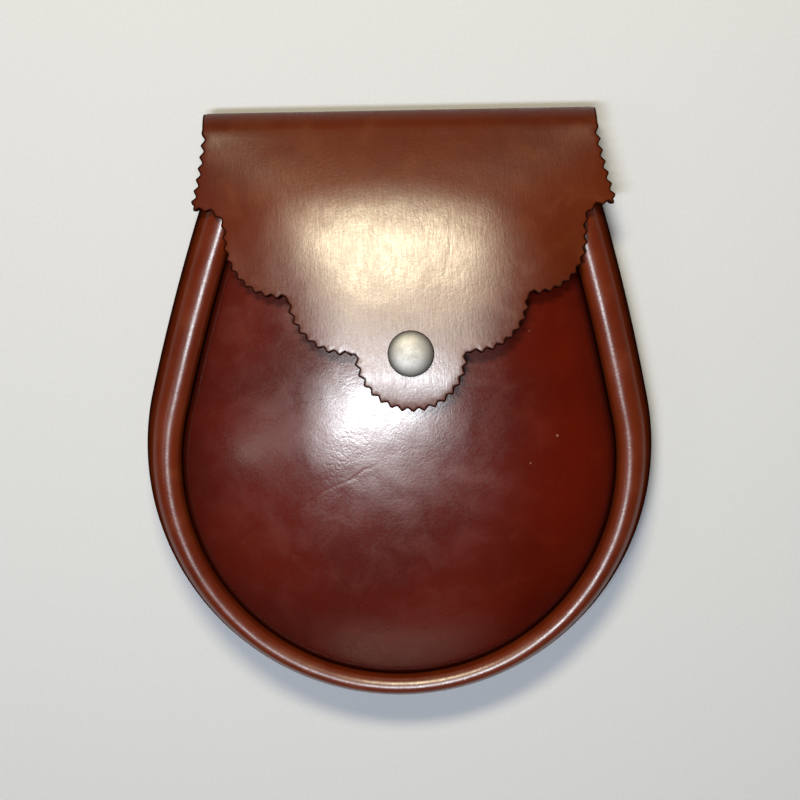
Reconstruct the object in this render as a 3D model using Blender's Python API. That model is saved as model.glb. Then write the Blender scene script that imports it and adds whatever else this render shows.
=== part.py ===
"""A worn leather pouch with a scalloped flap, lying on its back, in metres. +Y runs up to the flap's fold,
+X to the right as its wearer's front is seen, and +Z out of the front."""

import math

import bpy
import numpy as np
from mathutils import Matrix, Vector
from mathutils.geometry import delaunay_2d_cdt

# The whole body, and the sheets that it is made of.
BODY_LENGTH = 0.1992  # lowest point of the rim to the highest point of the fold
LEATHER = 0.002
FLAP_LEATHER = 0.0022
GAP = 0.0003  # between any two pieces

# The rim seen from the front: a round below, and a slightly bowed side above it.
RIM_RADIUS = 0.085
SIDE_BOW = 0.725  # radius of the side's bow
SIDE_START = math.radians(12)  # how far above its middle the round turns into the side
MOUTH_DROP = 0.0215  # from the fold down to the ends of the rim

# The rim in section. It stands out from the seam further at the sides than below.
RIM_CREST = 0.026  # height of the roll's crest
RIM_MIDDLE = 0.0125  # height at which the rim is widest
CREST_SIDE = 0.0079  # from the rim's edge in to the crest, at the sides
CREST_BELOW = 0.0038  # and at the lowest point
BEAD = 0.0047  # round from the crest down into the front seam
SEAM_TURN = 0.005  # leather turned in at the front seam
TURN_TAPER = 0.034  # length over which it is trimmed away towards the mouth
BACK_REST = 0.003  # flat that the rim lies on
BACK_LAP = 0.008  # flat of the rim, further in and higher, that the back panel is sewn on

# The front panel's dome, over its own seam.
DOME_BASE = 0.024  # height of the dome's surface at the seam
DOME_RISE = 0.018
DOME_POWER = 2.5  # how steeply it meets the seam
DOME_DROP = 0.8  # share of the rise that is lost between its middle and the mouth
DOME_MIDDLE = 0.0045  # above the middle of the lower round
LIP = 0.0032  # round at the panel's edge
MOUTH_TURN = 0.0015  # leather turned in at the mouth

# The flap. Its scallops are rounds of one radius whose middles step down to the snap.
FOLD_HALF = 0.0642
FOLD_RADIUS = 0.0083  # inside the fold
FLAP_RISE = math.radians(25)  # slope of the flap as it leaves the fold
FLAP_TAIL = 0.0095  # flat behind the fold, sewn to the back panel
FLAP_SETTLE = 0.045  # length over which it comes to lie on the body
FLAP_SAG = 0.02  # drop of its sides below its middle, growing evenly from the fold to the snap
FLAP_FALL = 0.025  # and the share of it that grows with the square of the way
TIP_FALL = 0.05  # how strongly it curves down beyond the snap's socket
FOLD_TILT = math.radians(1.75)  # the flap is sewn on a little askew
FLAP_SKEW = math.radians(3.5)
FLAP_SHIFT = -0.0015
FLAP_EASE = 0.0005  # air between flap and body
SNAP_DROP = 0.0774  # from the fold down to the snap
SCALLOP_RADIUS = 0.0182
SCALLOP_STEP = (0.0203, 0.0179)  # across, down
EAR_FLARE = 0.0046  # how much further out than the fold's ends the ears reach
EAR_FLOOR = 0.0455  # from the snap up to the ears' lower edge
EAR_CORNER = 0.0022
EAR_FILLET = 0.006
TOOTH_PITCH = 0.0036
TOOTH_DEPTH = 0.0012

# The snap. Cap and socket are set on the flap, the stud on the front panel.
CAP_RADIUS = 0.0074
CAP_HEIGHT = 0.0030
CAP_RIM = 0.0008
NECK_RADIUS = 0.0021
SOCKET_RADIUS = 0.0052
SOCKET_HEIGHT = 0.0019
SOCKET_SEAT = 0.0006  # clear of the flap's inner face, which curves away from it
STUD_PLATE = 0.0007
KNOB_RADIUS = 0.0019

# The strap loops, which stand off the back panel inside the rim's depth.
LOOP_WIDTH = 0.016
LOOP_INSIDE = 0.033  # clear length between the ends
LOOP_TAB = 0.009  # sewn down at each end
LOOP_BEND = 0.006
LOOP_CLEAR = 0.0028  # between the rim's lap and the loops' upper corners
LOOP_DROP = 0.056  # from the fold down to their middles
STRAP_ROOM = 0.0046  # between loop and back panel

# How finely the shapes are divided.
SIDE_STEPS = 5
ROUND_STEPS = 42
MOUTH_STEPS = 12
ARC_STEPS = 4
HOLE_STEPS = 20
FLAP_CELL = 0.0072
LATHE_STEPS = 28

HALF_LENGTH = BODY_LENGTH / 2
ROUND_Y = RIM_RADIUS - HALF_LENGTH
FOLD_Y = HALF_LENGTH - FOLD_HALF * math.sin(FOLD_TILT)
BACK_Z = GAP + LEATHER + STRAP_ROOM  # outer face of the back panel
LAP_Z = BACK_Z - GAP - LEATHER
LAP_INSET = BACK_REST + LAP_Z  # from the crest in to the start of the lap
SNAP_STACK = 2 * GAP + SOCKET_SEAT + SOCKET_HEIGHT + STUD_PLATE
HOLE_RADIUS = NECK_RADIUS + GAP
STRAIGHT_UP = (0.0, 0.0, 1.0)


def clear_scene():
    for old in list(bpy.data.objects):
        bpy.data.objects.remove(old, do_unlink=True)


def finish(name, colour, metallic, roughness):
    made = bpy.data.materials.new(name)
    made.use_nodes = True
    shader = made.node_tree.nodes["Principled BSDF"]
    shader.inputs["Base Color"].default_value = (*colour, 1)
    shader.inputs["Metallic"].default_value = metallic
    shader.inputs["Roughness"].default_value = roughness
    return made


def add_object(name, points, faces, material):
    """A mesh object shaded smooth, from points in metres and faces that are seen from their outer side."""
    mesh = bpy.data.meshes.new(name)
    mesh.from_pydata([tuple(map(float, p)) for p in points], [], [tuple(map(int, f)) for f in faces])
    mesh.materials.append(material)
    mesh.shade_smooth()
    made = bpy.data.objects.new(name, mesh)
    bpy.context.scene.collection.objects.link(made)
    return made


def thicken(sheet, thickness, side, keep_corners=True):
    """Leather of even thickness: side 1 grows it out of the drawn face, and side -1 into it."""
    solid = sheet.modifiers.new("leather", "SOLIDIFY")
    solid.thickness = thickness
    solid.offset = side
    solid.use_even_offset = keep_corners
    return sheet


# The rim's outline, and the curves at a distance inside it.


def side_round():
    """Middle of the side's large round."""
    inward = SIDE_BOW - RIM_RADIUS
    return (-inward * math.cos(SIDE_START), ROUND_Y - inward * math.sin(SIDE_START))


def outline_at(turn):
    """Point and outward direction of the right half, by the direction's angle above +X."""
    out = np.array([math.cos(turn), math.sin(turn)])
    if turn <= SIDE_START:
        return np.array([0.0, ROUND_Y]) + RIM_RADIUS * out, out
    return np.array(side_round()) + SIDE_BOW * out, out


def turn_at_height(y):
    """The outline's direction where its side reaches this height."""
    return math.asin((y - side_round()[1]) / SIDE_BOW)


def half_outline(top_y):
    """Points and directions from the side at top_y down to the lowest point."""
    side = np.linspace(turn_at_height(top_y), SIDE_START, SIDE_STEPS + 1)[:-1]
    below = np.linspace(SIDE_START, -math.pi / 2, ROUND_STEPS // 2 + 1)
    found = [outline_at(turn) for turn in (*side, *below)]
    return np.array([p for p, _ in found]), np.array([n for _, n in found])


def open_outline(top_y):
    """The whole outline, from the right end below to the left end."""
    points, out = half_outline(top_y)
    flip = np.array([-1.0, 1.0])
    return np.concatenate([points, points[-2::-1] * flip]), np.concatenate([out, out[-2::-1] * flip])


def crest_inset(out):
    """How far in from the outline the crest runs, for each outward direction."""
    return CREST_SIDE + (CREST_SIDE - CREST_BELOW) * out[:, 1]


def closed_loop(top_y, extra, steps):
    """A curve inside the outline, extra past its crest, closed by a straight line of steps across the top."""
    points, out = open_outline(top_y)
    curve = points - (crest_inset(out) + extra)[:, None] * out
    across = np.linspace(curve[-1], curve[0], steps + 1)[1:-1]
    return np.concatenate([curve, across])


def inset(loop, distance):
    """The closed loop moved inwards, with its corners kept sharp. It runs clockwise, seen from the front."""
    step = np.roll(loop, -1, axis=0) - loop
    step /= np.linalg.norm(step, axis=1)[:, None]
    inward = np.stack([step[:, 1], -step[:, 0]], axis=1)
    before = np.roll(inward, 1, axis=0)
    both = inward + before
    return loop + distance * both * (2 / np.sum(both * both, axis=1))[:, None]


# Heights of the dome and of the flap over it.


def dome_base_table():
    """The seam's curve closed by a round above the mouth, as angles and distances from the dome's middle."""
    points, out = half_outline(FOLD_Y)
    curve = points - (crest_inset(out) + BEAD)[:, None] * out
    top, direction = curve[0], out[0]
    radius = top[0] / direction[0]
    middle = top[1] - radius * direction[1]
    turns = np.linspace(math.pi / 2, math.atan2(direction[1], direction[0]), ROUND_STEPS)[:-1]
    cap = np.stack([radius * np.cos(turns), middle + radius * np.sin(turns)], axis=1)
    half = np.concatenate([cap, curve])
    away = half - np.array([0.0, ROUND_Y + DOME_MIDDLE])
    angle = np.arctan2(away[:, 1], away[:, 0])
    return angle[::-1], np.linalg.norm(away, axis=1)[::-1]


BASE_ANGLES, BASE_DISTANCES = dome_base_table()


def dome_height(x, y):
    """Height of the front panel's outer face, carried on beyond its edge."""
    away_x, away_y = np.abs(x), y - ROUND_Y - DOME_MIDDLE
    reach = np.interp(np.arctan2(away_y, away_x), BASE_ANGLES, BASE_DISTANCES)
    share = np.hypot(away_x, away_y) / reach
    toward_mouth = np.clip(away_y / (FOLD_Y - MOUTH_DROP - ROUND_Y - DOME_MIDDLE), 0, 1)
    rise = np.maximum(1 - share**DOME_POWER, -1)
    return DOME_BASE + DOME_RISE * rise * (1 - DOME_DROP * toward_mouth**2)


def flap_place(across, down):
    """Flap measures, across and down from the fold's edge, as x and y."""
    x = FLAP_SHIFT + across * math.cos(FOLD_TILT) + down * math.sin(FLAP_SKEW)
    y = FOLD_Y + across * math.sin(FOLD_TILT) - down * math.cos(FLAP_SKEW)
    return x, y


FOLD_TURN = math.pi - FLAP_RISE
FOLD_MIDDLE = FOLD_RADIUS + FLAP_LEATHER  # behind the fold's edge
TAIL_Z = BACK_Z - GAP  # inner face of the flap behind
FRONT_START = FOLD_MIDDLE - FOLD_RADIUS * math.sin(FLAP_RISE)
FRONT_HEIGHT = TAIL_Z + FOLD_RADIUS * (1 + math.cos(FLAP_RISE))
SNAP_PLACE = flap_place(0.0, SNAP_DROP)


def soft_step(share):
    share = np.clip(share, 0, 1)
    return share * share * (3 - 2 * share)


def soft_most(a, b, softness):
    return (a + b + np.sqrt((a - b) ** 2 + softness**2)) / 2


def flap_height(across, down):
    """Height of the flap's inner face on the front: an arch from the fold to the snap, kept off the body."""
    x, y = flap_place(across, down)
    reach = SNAP_DROP - FRONT_START
    share = (down - FRONT_START) / reach
    side = np.abs(across) / FOLD_HALF
    climb = reach * math.tan(FLAP_RISE)
    at_snap = float(dome_height(*SNAP_PLACE)) + SNAP_STACK - FRONT_HEIGHT
    beyond = np.maximum(share - 1 - SOCKET_RADIUS / reach, 0)
    arch = climb * share + (at_snap - climb) * share**2 - TIP_FALL * beyond**2
    free = FRONT_HEIGHT + arch - side**4 * (FLAP_SAG * share + FLAP_FALL * share**2)
    body = soft_most(dome_height(x, y), RIM_CREST, LIP) + FLAP_EASE
    settled = soft_step((down - FRONT_START) / FLAP_SETTLE)
    return free + settled * (soft_most(free, body, LIP) - free)


def flap_point(across, along):
    """The flap's inner face. Along is 0 where the fold ends in front, and is negative round it and behind."""
    if along >= 0:
        down = FRONT_START + along
        x, y = flap_place(across, down)
        return (x, y, float(flap_height(across, down)))
    turned = -along / FOLD_RADIUS
    if turned <= FOLD_TURN:
        angle = math.pi / 2 - FLAP_RISE - turned
        x, y = flap_place(across, FOLD_MIDDLE - FOLD_RADIUS * math.cos(angle))
        return (x, y, TAIL_Z + FOLD_RADIUS * (1 + math.sin(angle)))
    behind = -along - FOLD_RADIUS * FOLD_TURN
    x, y = flap_place(across, FOLD_MIDDLE + behind)
    return (x, y, TAIL_Z)


# Sheet pieces.


def ring_faces(rings, count):
    """Quads between closed rings of count points each."""
    return [
        (r * count + i, (r + 1) * count + i, (r + 1) * count + (i + 1) % count, r * count + (i + 1) % count)
        for r in range(rings - 1)
        for i in range(count)
    ]


def grid_faces(rows, columns):
    """Quads over rows of points."""
    return [
        (r * columns + c, (r + 1) * columns + c, (r + 1) * columns + c + 1, r * columns + c + 1)
        for r in range(rows - 1)
        for c in range(columns - 1)
    ]


def make_front_panel(material):
    loop = closed_loop(FOLD_Y - MOUTH_DROP, BEAD + GAP, MOUTH_STEPS)
    count = len(loop)
    trimmed = soft_step((loop[0, 1] - loop[:, 1]) / TURN_TAPER)
    turned_in = MOUTH_TURN + (SEAM_TURN - MOUTH_TURN) * trimmed
    edge_top = dome_height(loop[:, 0], loop[:, 1]) - LIP
    rings = [(loop, edge_top - turned_in), (loop, edge_top)]
    for k in range(1, ARC_STEPS + 1):
        angle = math.pi / 2 * k / ARC_STEPS
        ring = inset(loop, LIP * (1 - math.cos(angle)))
        rings.append((ring, dome_height(ring[:, 0], ring[:, 1]) - LIP * (1 - math.sin(angle))))
    inner = rings[-1][0]
    hole = np.array(STUD_FOOT)[:2]
    toward = inner - hole
    hole_ring = hole + HOLE_RADIUS * toward / np.linalg.norm(toward, axis=1)[:, None]
    for share in (0.08, 0.2, 0.36, 0.54, 0.72, 0.88, 1):
        ring = inner + share * (hole_ring - inner)
        rings.append((ring, dome_height(ring[:, 0], ring[:, 1])))
    points = [(*p, z) for ring, height in rings for p, z in zip(ring, height)]
    made = add_object("front_panel", points, ring_faces(len(rings), count), material)
    return thicken(made, LEATHER, -1)


def rim_section(crest):
    """The rim's outer face as insets and heights, from the front seam over the crest to the lap behind."""
    section = [(crest + BEAD, RIM_CREST - BEAD - SEAM_TURN)]
    for k in range(ARC_STEPS + 1):
        angle = math.pi / 2 * k / ARC_STEPS
        section.append((crest + BEAD * math.cos(angle), RIM_CREST - BEAD + BEAD * math.sin(angle)))
    for k in range(1, ARC_STEPS + 1):
        angle = math.pi / 2 * k / ARC_STEPS
        height = RIM_MIDDLE + (RIM_CREST - RIM_MIDDLE) * math.cos(angle)
        section.append((crest - crest * math.sin(angle), height))
    for k in range(1, ARC_STEPS + 1):
        angle = math.pi / 2 * k / ARC_STEPS
        section.append((crest * (1 - math.cos(angle)), RIM_MIDDLE * (1 - math.sin(angle))))
    start, step = crest + BACK_REST, LAP_Z / 2
    for k in range(ARC_STEPS):
        angle = math.pi / 2 * k / ARC_STEPS
        section.append((start + step * math.sin(angle), step * (1 - math.cos(angle))))
    for k in range(ARC_STEPS + 1):
        angle = math.pi / 2 * k / ARC_STEPS
        section.append((start + step * (2 - math.cos(angle)), step * (1 + math.sin(angle))))
    section.append((start + LAP_Z + BACK_LAP, LAP_Z))
    return section


def make_gusset(material):
    points, out = open_outline(FOLD_Y - MOUTH_DROP)
    made = []
    for place, direction, crest in zip(points, out, crest_inset(out)):
        made += [(*(place - back * direction), z) for back, z in rim_section(crest)]
    rows, columns = len(points), len(rim_section(CREST_SIDE))
    return thicken(add_object("gusset", made, grid_faces(rows, columns), material), LEATHER, -1)


def make_back_panel(material):
    """A flat sheet whose edge lies on the middle of the rim's lap."""
    loop = closed_loop(FOLD_Y - FOLD_MIDDLE, LAP_INSET + BACK_LAP / 3, MOUTH_STEPS)
    points = [(*p, BACK_Z) for p in loop]
    made = add_object("back_panel", points, [tuple(range(len(loop)))], material)
    return thicken(made, LEATHER, -1)


def lap_edge(y):
    """Half the width between the inner edges of the rim's lap at this height."""
    points, out = half_outline(FOLD_Y - MOUTH_DROP)
    edge = points - (crest_inset(out) + LAP_INSET + BACK_LAP)[:, None] * out
    return float(np.interp(y, edge[::-1, 1], edge[::-1, 0]))


def make_strap_loop(name, side, material):
    """A strip from its upper end to its lower end, standing off between its two sewn tabs."""
    low, high = GAP, LAP_Z
    raised = [(LOOP_INSIDE / 2, low)]
    for k in range(1, ARC_STEPS + 1):
        share = k / ARC_STEPS
        raised.append((LOOP_INSIDE / 2 + LOOP_BEND * share, low + (high - low) * soft_step(share)))
    half = raised + [(LOOP_INSIDE / 2 + LOOP_BEND + LOOP_TAB, high)]
    profile = half[::-1] + [(-y, z) for y, z in half]
    middle_y = HALF_LENGTH - LOOP_DROP
    outer = lap_edge(middle_y + profile[0][0]) - LOOP_CLEAR
    points = []
    for y, z in profile:
        points += [(side * outer - x, middle_y + y, z) for x in sorted((0.0, side * LOOP_WIDTH), reverse=True)]
    made = add_object(name, points, grid_faces(len(profile), 2), material)
    return thicken(made, LEATHER, 1)


# The flap's cut edge.


def arc(middle, radius, start, end, steps):
    turns = np.radians(np.linspace(start, end, steps + 1))
    return np.stack([middle[0] + radius * np.cos(turns), middle[1] + radius * np.sin(turns)], axis=1)


def half_edge():
    """The flap's right edge from the fold to the tip, across and down from the fold."""
    ear_y = SNAP_DROP - EAR_FLOOR
    lean = np.linspace(FRONT_START, ear_y - EAR_CORNER, 24)
    flare = np.stack([FOLD_HALF + EAR_FLARE * (lean / lean[-1]) ** 2, lean], axis=1)
    corner = arc((FOLD_HALF + EAR_FLARE - EAR_CORNER, ear_y - EAR_CORNER), EAR_CORNER, 0, 90, 8)
    edge = 2 * SCALLOP_STEP[0] + SCALLOP_RADIUS
    fillet = arc((edge + EAR_FILLET, ear_y + EAR_FILLET), EAR_FILLET, 270, 180, 8)
    pieces = [flare, corner, fillet]
    apart = math.hypot(*SCALLOP_STEP)
    cut = math.degrees(math.acos(apart / 2 / SCALLOP_RADIUS))
    toward_next = math.degrees(math.atan2(SCALLOP_STEP[1], -SCALLOP_STEP[0]))
    for tier, start, end in (
        (2, 0.0, toward_next - cut),
        (1, toward_next - 180 + cut, toward_next - cut),
        (0, toward_next - 180 + cut, 90.0),
    ):
        middle = (tier * SCALLOP_STEP[0], SNAP_DROP - tier * SCALLOP_STEP[1])
        pieces.append(arc(middle, SCALLOP_RADIUS, start, end, 24))
    return np.concatenate(pieces)


def pinked(curve):
    """The curve as teeth: its own points for the tips, and points set in for the notches."""
    step = np.linalg.norm(np.diff(curve, axis=0), axis=1)
    length = np.concatenate([[0], np.cumsum(step)])
    teeth = max(2, round(length[-1] / TOOTH_PITCH))
    stops = np.linspace(0, length[-1], 2 * teeth + 1)
    even = np.stack([np.interp(stops, length, curve[:, k]) for k in (0, 1)], axis=1)
    along = np.gradient(even, axis=0)
    along /= np.linalg.norm(along, axis=1)[:, None]
    inward = np.stack([-along[:, 1], along[:, 0]], axis=1)
    even[1::2] += TOOTH_DEPTH * inward[1::2]
    return even


def flap_border():
    """The whole border of the flap laid out flat: across, and along from the end of the fold."""
    front = pinked(half_edge()) - np.array([0.0, FRONT_START])
    behind = -FOLD_RADIUS * FOLD_TURN
    fold_rows = np.linspace(0, behind, 2 * ARC_STEPS + 1)[1:]
    edge = [(FOLD_HALF, along) for along in (*fold_rows, behind - FLAP_TAIL)]
    right = np.concatenate([np.array(edge)[::-1], front])
    left = right[-2::-1] * np.array([-1.0, 1.0])
    back_rows = (*fold_rows, behind - FLAP_TAIL)
    return np.concatenate([right, left]), back_rows


def make_flap(material):
    border, back_rows = flap_border()
    lowest = border[:, 1].max()
    hole_y = SNAP_DROP - FRONT_START
    turns = np.linspace(0, 2 * math.pi, HOLE_STEPS + 1)[:-1]
    hole = np.stack([HOLE_RADIUS * np.cos(turns), hole_y + HOLE_RADIUS * np.sin(turns)], axis=1)
    columns = np.linspace(-FOLD_HALF, FOLD_HALF, 2 * round(FOLD_HALF / FLAP_CELL) + 1)
    front_rows = np.linspace(0, lowest, 1 + round(lowest / FLAP_CELL))
    starts, ends = border, np.roll(border, -1, axis=0)
    inner = []
    for along in (*back_rows[:-1], *front_rows):
        for across in columns[1:-1]:
            here = np.array([across, along])
            if inside(here, border) and edge_distance(here, starts, ends) > FLAP_CELL / 3:
                if np.linalg.norm(here - (0, hole_y)) > HOLE_RADIUS + FLAP_CELL / 3:
                    inner.append(here)
    flat = np.concatenate([border, hole, np.array(inner)])
    rim = list(range(len(border)))
    around_hole = [len(border) + k for k in range(HOLE_STEPS)]
    edges = [(a, b) for chain in (rim, around_hole) for a, b in zip(chain, chain[1:] + chain[:1])]
    found = delaunay_2d_cdt([Vector(p) for p in flat], edges, [], 0, FLAP_CELL / 1e5, False)
    points, faces = [tuple(p) for p in found[0]], []
    for face in found[2]:
        middle = np.mean([points[i] for i in face], axis=0)
        if inside(middle, border) and not inside(middle, hole):
            faces.append(tuple(reversed(face)))
    shaped = [flap_point(*p) for p in points]
    return thicken(add_object("flap", shaped, faces, material), FLAP_LEATHER, 1, keep_corners=False)


def inside(point, border):
    """Whether a straight line to the right of the point crosses the border an odd number of times."""
    starts, ends = border, np.roll(border, -1, axis=0)
    spans = (starts[:, 1] > point[1]) != (ends[:, 1] > point[1])
    run = ends - starts
    drop = np.where(spans, run[:, 1], 1.0)
    meets = starts[:, 0] + (point[1] - starts[:, 1]) / drop * run[:, 0]
    return bool(np.sum(spans & (meets > point[0])) % 2)


def edge_distance(point, starts, ends):
    run = ends - starts
    share = np.sum((point - starts) * run, axis=1) / np.sum(run * run, axis=1)
    near = starts + np.clip(share, 0, 1)[:, None] * run
    return float(np.min(np.linalg.norm(near - point, axis=1)))


# The snap.


def surface_direction(height, x, y):
    """Outward direction of a height function at a point."""
    step = LEATHER / 4
    slope_x = (height(x + step, y) - height(x - step, y)) / (2 * step)
    slope_y = (height(x, y + step) - height(x, y - step)) / (2 * step)
    return Vector((-float(slope_x), -float(slope_y), 1)).normalized()


def snap_axis():
    """Where the snap's axis meets the flap's inner face and the front panel, and its direction."""
    x, y = SNAP_PLACE
    out = surface_direction(dome_height, x, y)
    on_flap = Vector((x, y, float(flap_height(0.0, SNAP_DROP))))
    depth = 0.0
    for _ in range(8):
        here = on_flap - depth * out
        depth += here.z - float(dome_height(here.x, here.y))
    return on_flap, on_flap - depth * out, out


FLAP_FOOT, STUD_FOOT, SNAP_OUT = snap_axis()


def lathe(name, profile, foot, material):
    """A turned piece on the snap's axis, from radii and heights above the foot, the axis at both ends."""
    turn = Vector(STRAIGHT_UP).rotation_difference(SNAP_OUT).to_matrix().to_4x4()
    place = Matrix.Translation(foot) @ turn
    points = [place @ Vector((0, 0, profile[0][1]))]
    for radius, height in profile[1:-1]:
        for k in range(LATHE_STEPS):
            angle = 2 * math.pi * k / LATHE_STEPS
            points.append(place @ Vector((radius * math.cos(angle), radius * math.sin(angle), height)))
    points.append(place @ Vector((0, 0, profile[-1][1])))
    last = len(points) - 1
    rings = len(profile) - 2
    faces = []
    for k in range(LATHE_STEPS):
        after = (k + 1) % LATHE_STEPS
        faces.append((0, 1 + k, 1 + after))
        for r in range(rings - 1):
            here, below = 1 + r * LATHE_STEPS, 1 + (r + 1) * LATHE_STEPS
            faces.append((here + k, below + k, below + after, here + after))
        faces.append((last, last - LATHE_STEPS + after, last - LATHE_STEPS + k))
    return add_object(name, points, faces, material)


def make_snap_cap(material):
    """Dome on the flap, neck through it and socket below, its foot on the flap's inner face."""
    seat = FLAP_LEATHER + GAP
    dome = []
    for k in range(ARC_STEPS + 2):
        angle = math.pi / 2 * k / (ARC_STEPS + 1)
        dome.append((CAP_RADIUS * math.sin(angle), seat + CAP_RIM + (CAP_HEIGHT - CAP_RIM) * math.cos(angle)))
    profile = dome + [
        (CAP_RADIUS, seat),
        (NECK_RADIUS, seat),
        (NECK_RADIUS, -SOCKET_SEAT),
        (SOCKET_RADIUS, -SOCKET_SEAT),
        (SOCKET_RADIUS, -SOCKET_SEAT - SOCKET_HEIGHT),
        (KNOB_RADIUS + GAP, -SOCKET_SEAT - SOCKET_HEIGHT),
        (KNOB_RADIUS + GAP, -SOCKET_SEAT - GAP),
        (0.0, -SOCKET_SEAT - GAP),
    ]
    return lathe("snap_cap", profile, FLAP_FOOT, material)


def make_snap_stud(material):
    """Knob and plate outside the front panel, neck through it and plate inside."""
    inside_face = -LEATHER - GAP
    knob_top = GAP + STUD_PLATE + GAP + SOCKET_HEIGHT / 2
    profile = [
        (0.0, knob_top),
        (KNOB_RADIUS - GAP, knob_top),
        (KNOB_RADIUS, knob_top - GAP),
        (KNOB_RADIUS, GAP + STUD_PLATE),
        (SOCKET_RADIUS, GAP + STUD_PLATE),
        (SOCKET_RADIUS, GAP),
        (NECK_RADIUS, GAP),
        (NECK_RADIUS, inside_face),
        (SOCKET_RADIUS, inside_face),
        (SOCKET_RADIUS, inside_face - STUD_PLATE),
        (0.0, inside_face - STUD_PLATE),
    ]
    return lathe("snap_stud", profile, STUD_FOOT, material)


def main():
    clear_scene()
    make_front_panel(finish("front_leather", (0.13, 0.014, 0.008), 0.0, 0.32))
    make_gusset(finish("rim_leather", (0.17, 0.028, 0.010), 0.0, 0.30))
    make_back_panel(finish("back_leather", (0.11, 0.020, 0.010), 0.0, 0.5))
    make_flap(finish("flap_leather", (0.12, 0.018, 0.009), 0.0, 0.30))
    make_snap_cap(finish("cap_nickel", (0.62, 0.60, 0.56), 1.0, 0.3))
    make_snap_stud(finish("stud_nickel", (0.55, 0.53, 0.50), 1.0, 0.35))
    strap = finish("strap_leather_left", (0.10, 0.018, 0.009), 0.0, 0.5)
    make_strap_loop("strap_loop_left", -1, strap)
    strap = finish("strap_leather_right", (0.10, 0.018, 0.009), 0.0, 0.5)
    make_strap_loop("strap_loop_right", 1, strap)


main()
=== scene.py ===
# %% [markdown]
# # A worn leather pouch
# The pouch hangs at the front of a kilt. It is made of glossy red-brown leather: a front panel pressed into a
# low dome, a soft rolled rim round it, a flat back, and a scalloped flap that closes with a snap. Here it
# lies on its back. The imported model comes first. It fixes where everything is and how large it is, and every
# piece made below stays within it.

# %% Load the frame
import math

import bpy
import numpy as np
from mathutils import Matrix, Vector, noise
from mathutils.geometry import delaunay_2d_cdt


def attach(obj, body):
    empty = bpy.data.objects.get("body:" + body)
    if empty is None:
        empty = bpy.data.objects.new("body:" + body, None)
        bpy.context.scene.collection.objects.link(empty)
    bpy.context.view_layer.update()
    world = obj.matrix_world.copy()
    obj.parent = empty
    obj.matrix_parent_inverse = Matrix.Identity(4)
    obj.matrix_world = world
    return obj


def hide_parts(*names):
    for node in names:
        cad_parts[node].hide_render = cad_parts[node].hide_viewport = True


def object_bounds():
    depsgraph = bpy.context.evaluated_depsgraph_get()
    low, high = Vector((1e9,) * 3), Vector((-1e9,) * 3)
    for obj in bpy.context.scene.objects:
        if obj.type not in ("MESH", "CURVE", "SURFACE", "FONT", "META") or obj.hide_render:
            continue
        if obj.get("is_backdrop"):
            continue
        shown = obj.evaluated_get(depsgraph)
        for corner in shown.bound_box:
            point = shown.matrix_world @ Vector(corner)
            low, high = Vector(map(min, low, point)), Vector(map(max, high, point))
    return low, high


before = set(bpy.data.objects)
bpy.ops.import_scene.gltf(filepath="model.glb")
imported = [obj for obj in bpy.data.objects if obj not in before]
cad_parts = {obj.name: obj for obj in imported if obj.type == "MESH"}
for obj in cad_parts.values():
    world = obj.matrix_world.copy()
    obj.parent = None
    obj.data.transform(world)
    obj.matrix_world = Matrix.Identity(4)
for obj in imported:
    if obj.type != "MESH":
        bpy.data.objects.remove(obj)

model_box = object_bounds()
print("the whole pouch in mm:", [round(1000 * (b - a), 1) for a, b in zip(*model_box)])

# %% [markdown]
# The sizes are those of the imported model, in metres. +Y runs up to the fold of the flap, +X to the right as
# the front is seen, and +Z out of the front. Leather of 2 mm is usual for such pouches, and the flap is a
# little thicker because its edge is left raw.

# %% Sizes
BODY_LENGTH, LEATHER, FLAP_LEATHER, GAP = 0.1992, 0.002, 0.0022, 0.0003

# The outline: a round below, and very flat bows from SIDE_START above its middle up to the mouth.
RIM_RADIUS, SIDE_BOW, SIDE_START, MOUTH_DROP = 0.085, 0.725, math.radians(12), 0.0215

# The rim in section: its heights, how far in its crest runs, and the turns at its front and back seams.
RIM_CREST, RIM_MIDDLE, CREST_SIDE, CREST_BELOW = 0.026, 0.0125, 0.0079, 0.0038
BEAD, SEAM_TURN, TURN_TAPER, BACK_REST, BACK_LAP = 0.0047, 0.005, 0.034, 0.003, 0.008

# The front's dome: its height at the seam, its rise, how steeply it meets the seam, and its rounded edge.
DOME_BASE, DOME_RISE, DOME_POWER, DOME_DROP = 0.024, 0.018, 2.5, 0.8
DOME_MIDDLE, LIP, MOUTH_TURN = 0.0045, 0.0032, 0.0015

# The flap: its fold, how it drapes from there, and how far askew it is sewn on.
FOLD_HALF, FOLD_RADIUS, FLAP_RISE, FLAP_TAIL = 0.0642, 0.0083, math.radians(25), 0.0095
FLAP_SETTLE, FLAP_SAG, FLAP_FALL, TIP_FALL = 0.045, 0.02, 0.025, 0.05
FOLD_TILT, FLAP_SKEW = math.radians(1.75), math.radians(3.5)
FLAP_SHIFT, FLAP_EASE, SNAP_DROP = -0.0015, 0.0005, 0.0774

# The flap's edge: scallops that step down to the snap, ears above them, and teeth all along.
SCALLOP_RADIUS, SCALLOP_STEP = 0.0182, (0.0203, 0.0179)
EAR_FLARE, EAR_FLOOR, EAR_CORNER, EAR_FILLET = 0.0046, 0.0455, 0.0022, 0.006
TOOTH_PITCH, TOOTH_DEPTH = 0.0036, 0.0012

# The snap: cap and socket on the flap, stud on the front.
CAP_RADIUS, CAP_HEIGHT, NECK_RADIUS, SOCKET_RADIUS = 0.0074, 0.0030, 0.0021, 0.0052
SOCKET_HEIGHT, SOCKET_SEAT, STUD_PLATE, KNOB_RADIUS = 0.0019, 0.0006, 0.0007, 0.0019

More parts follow.
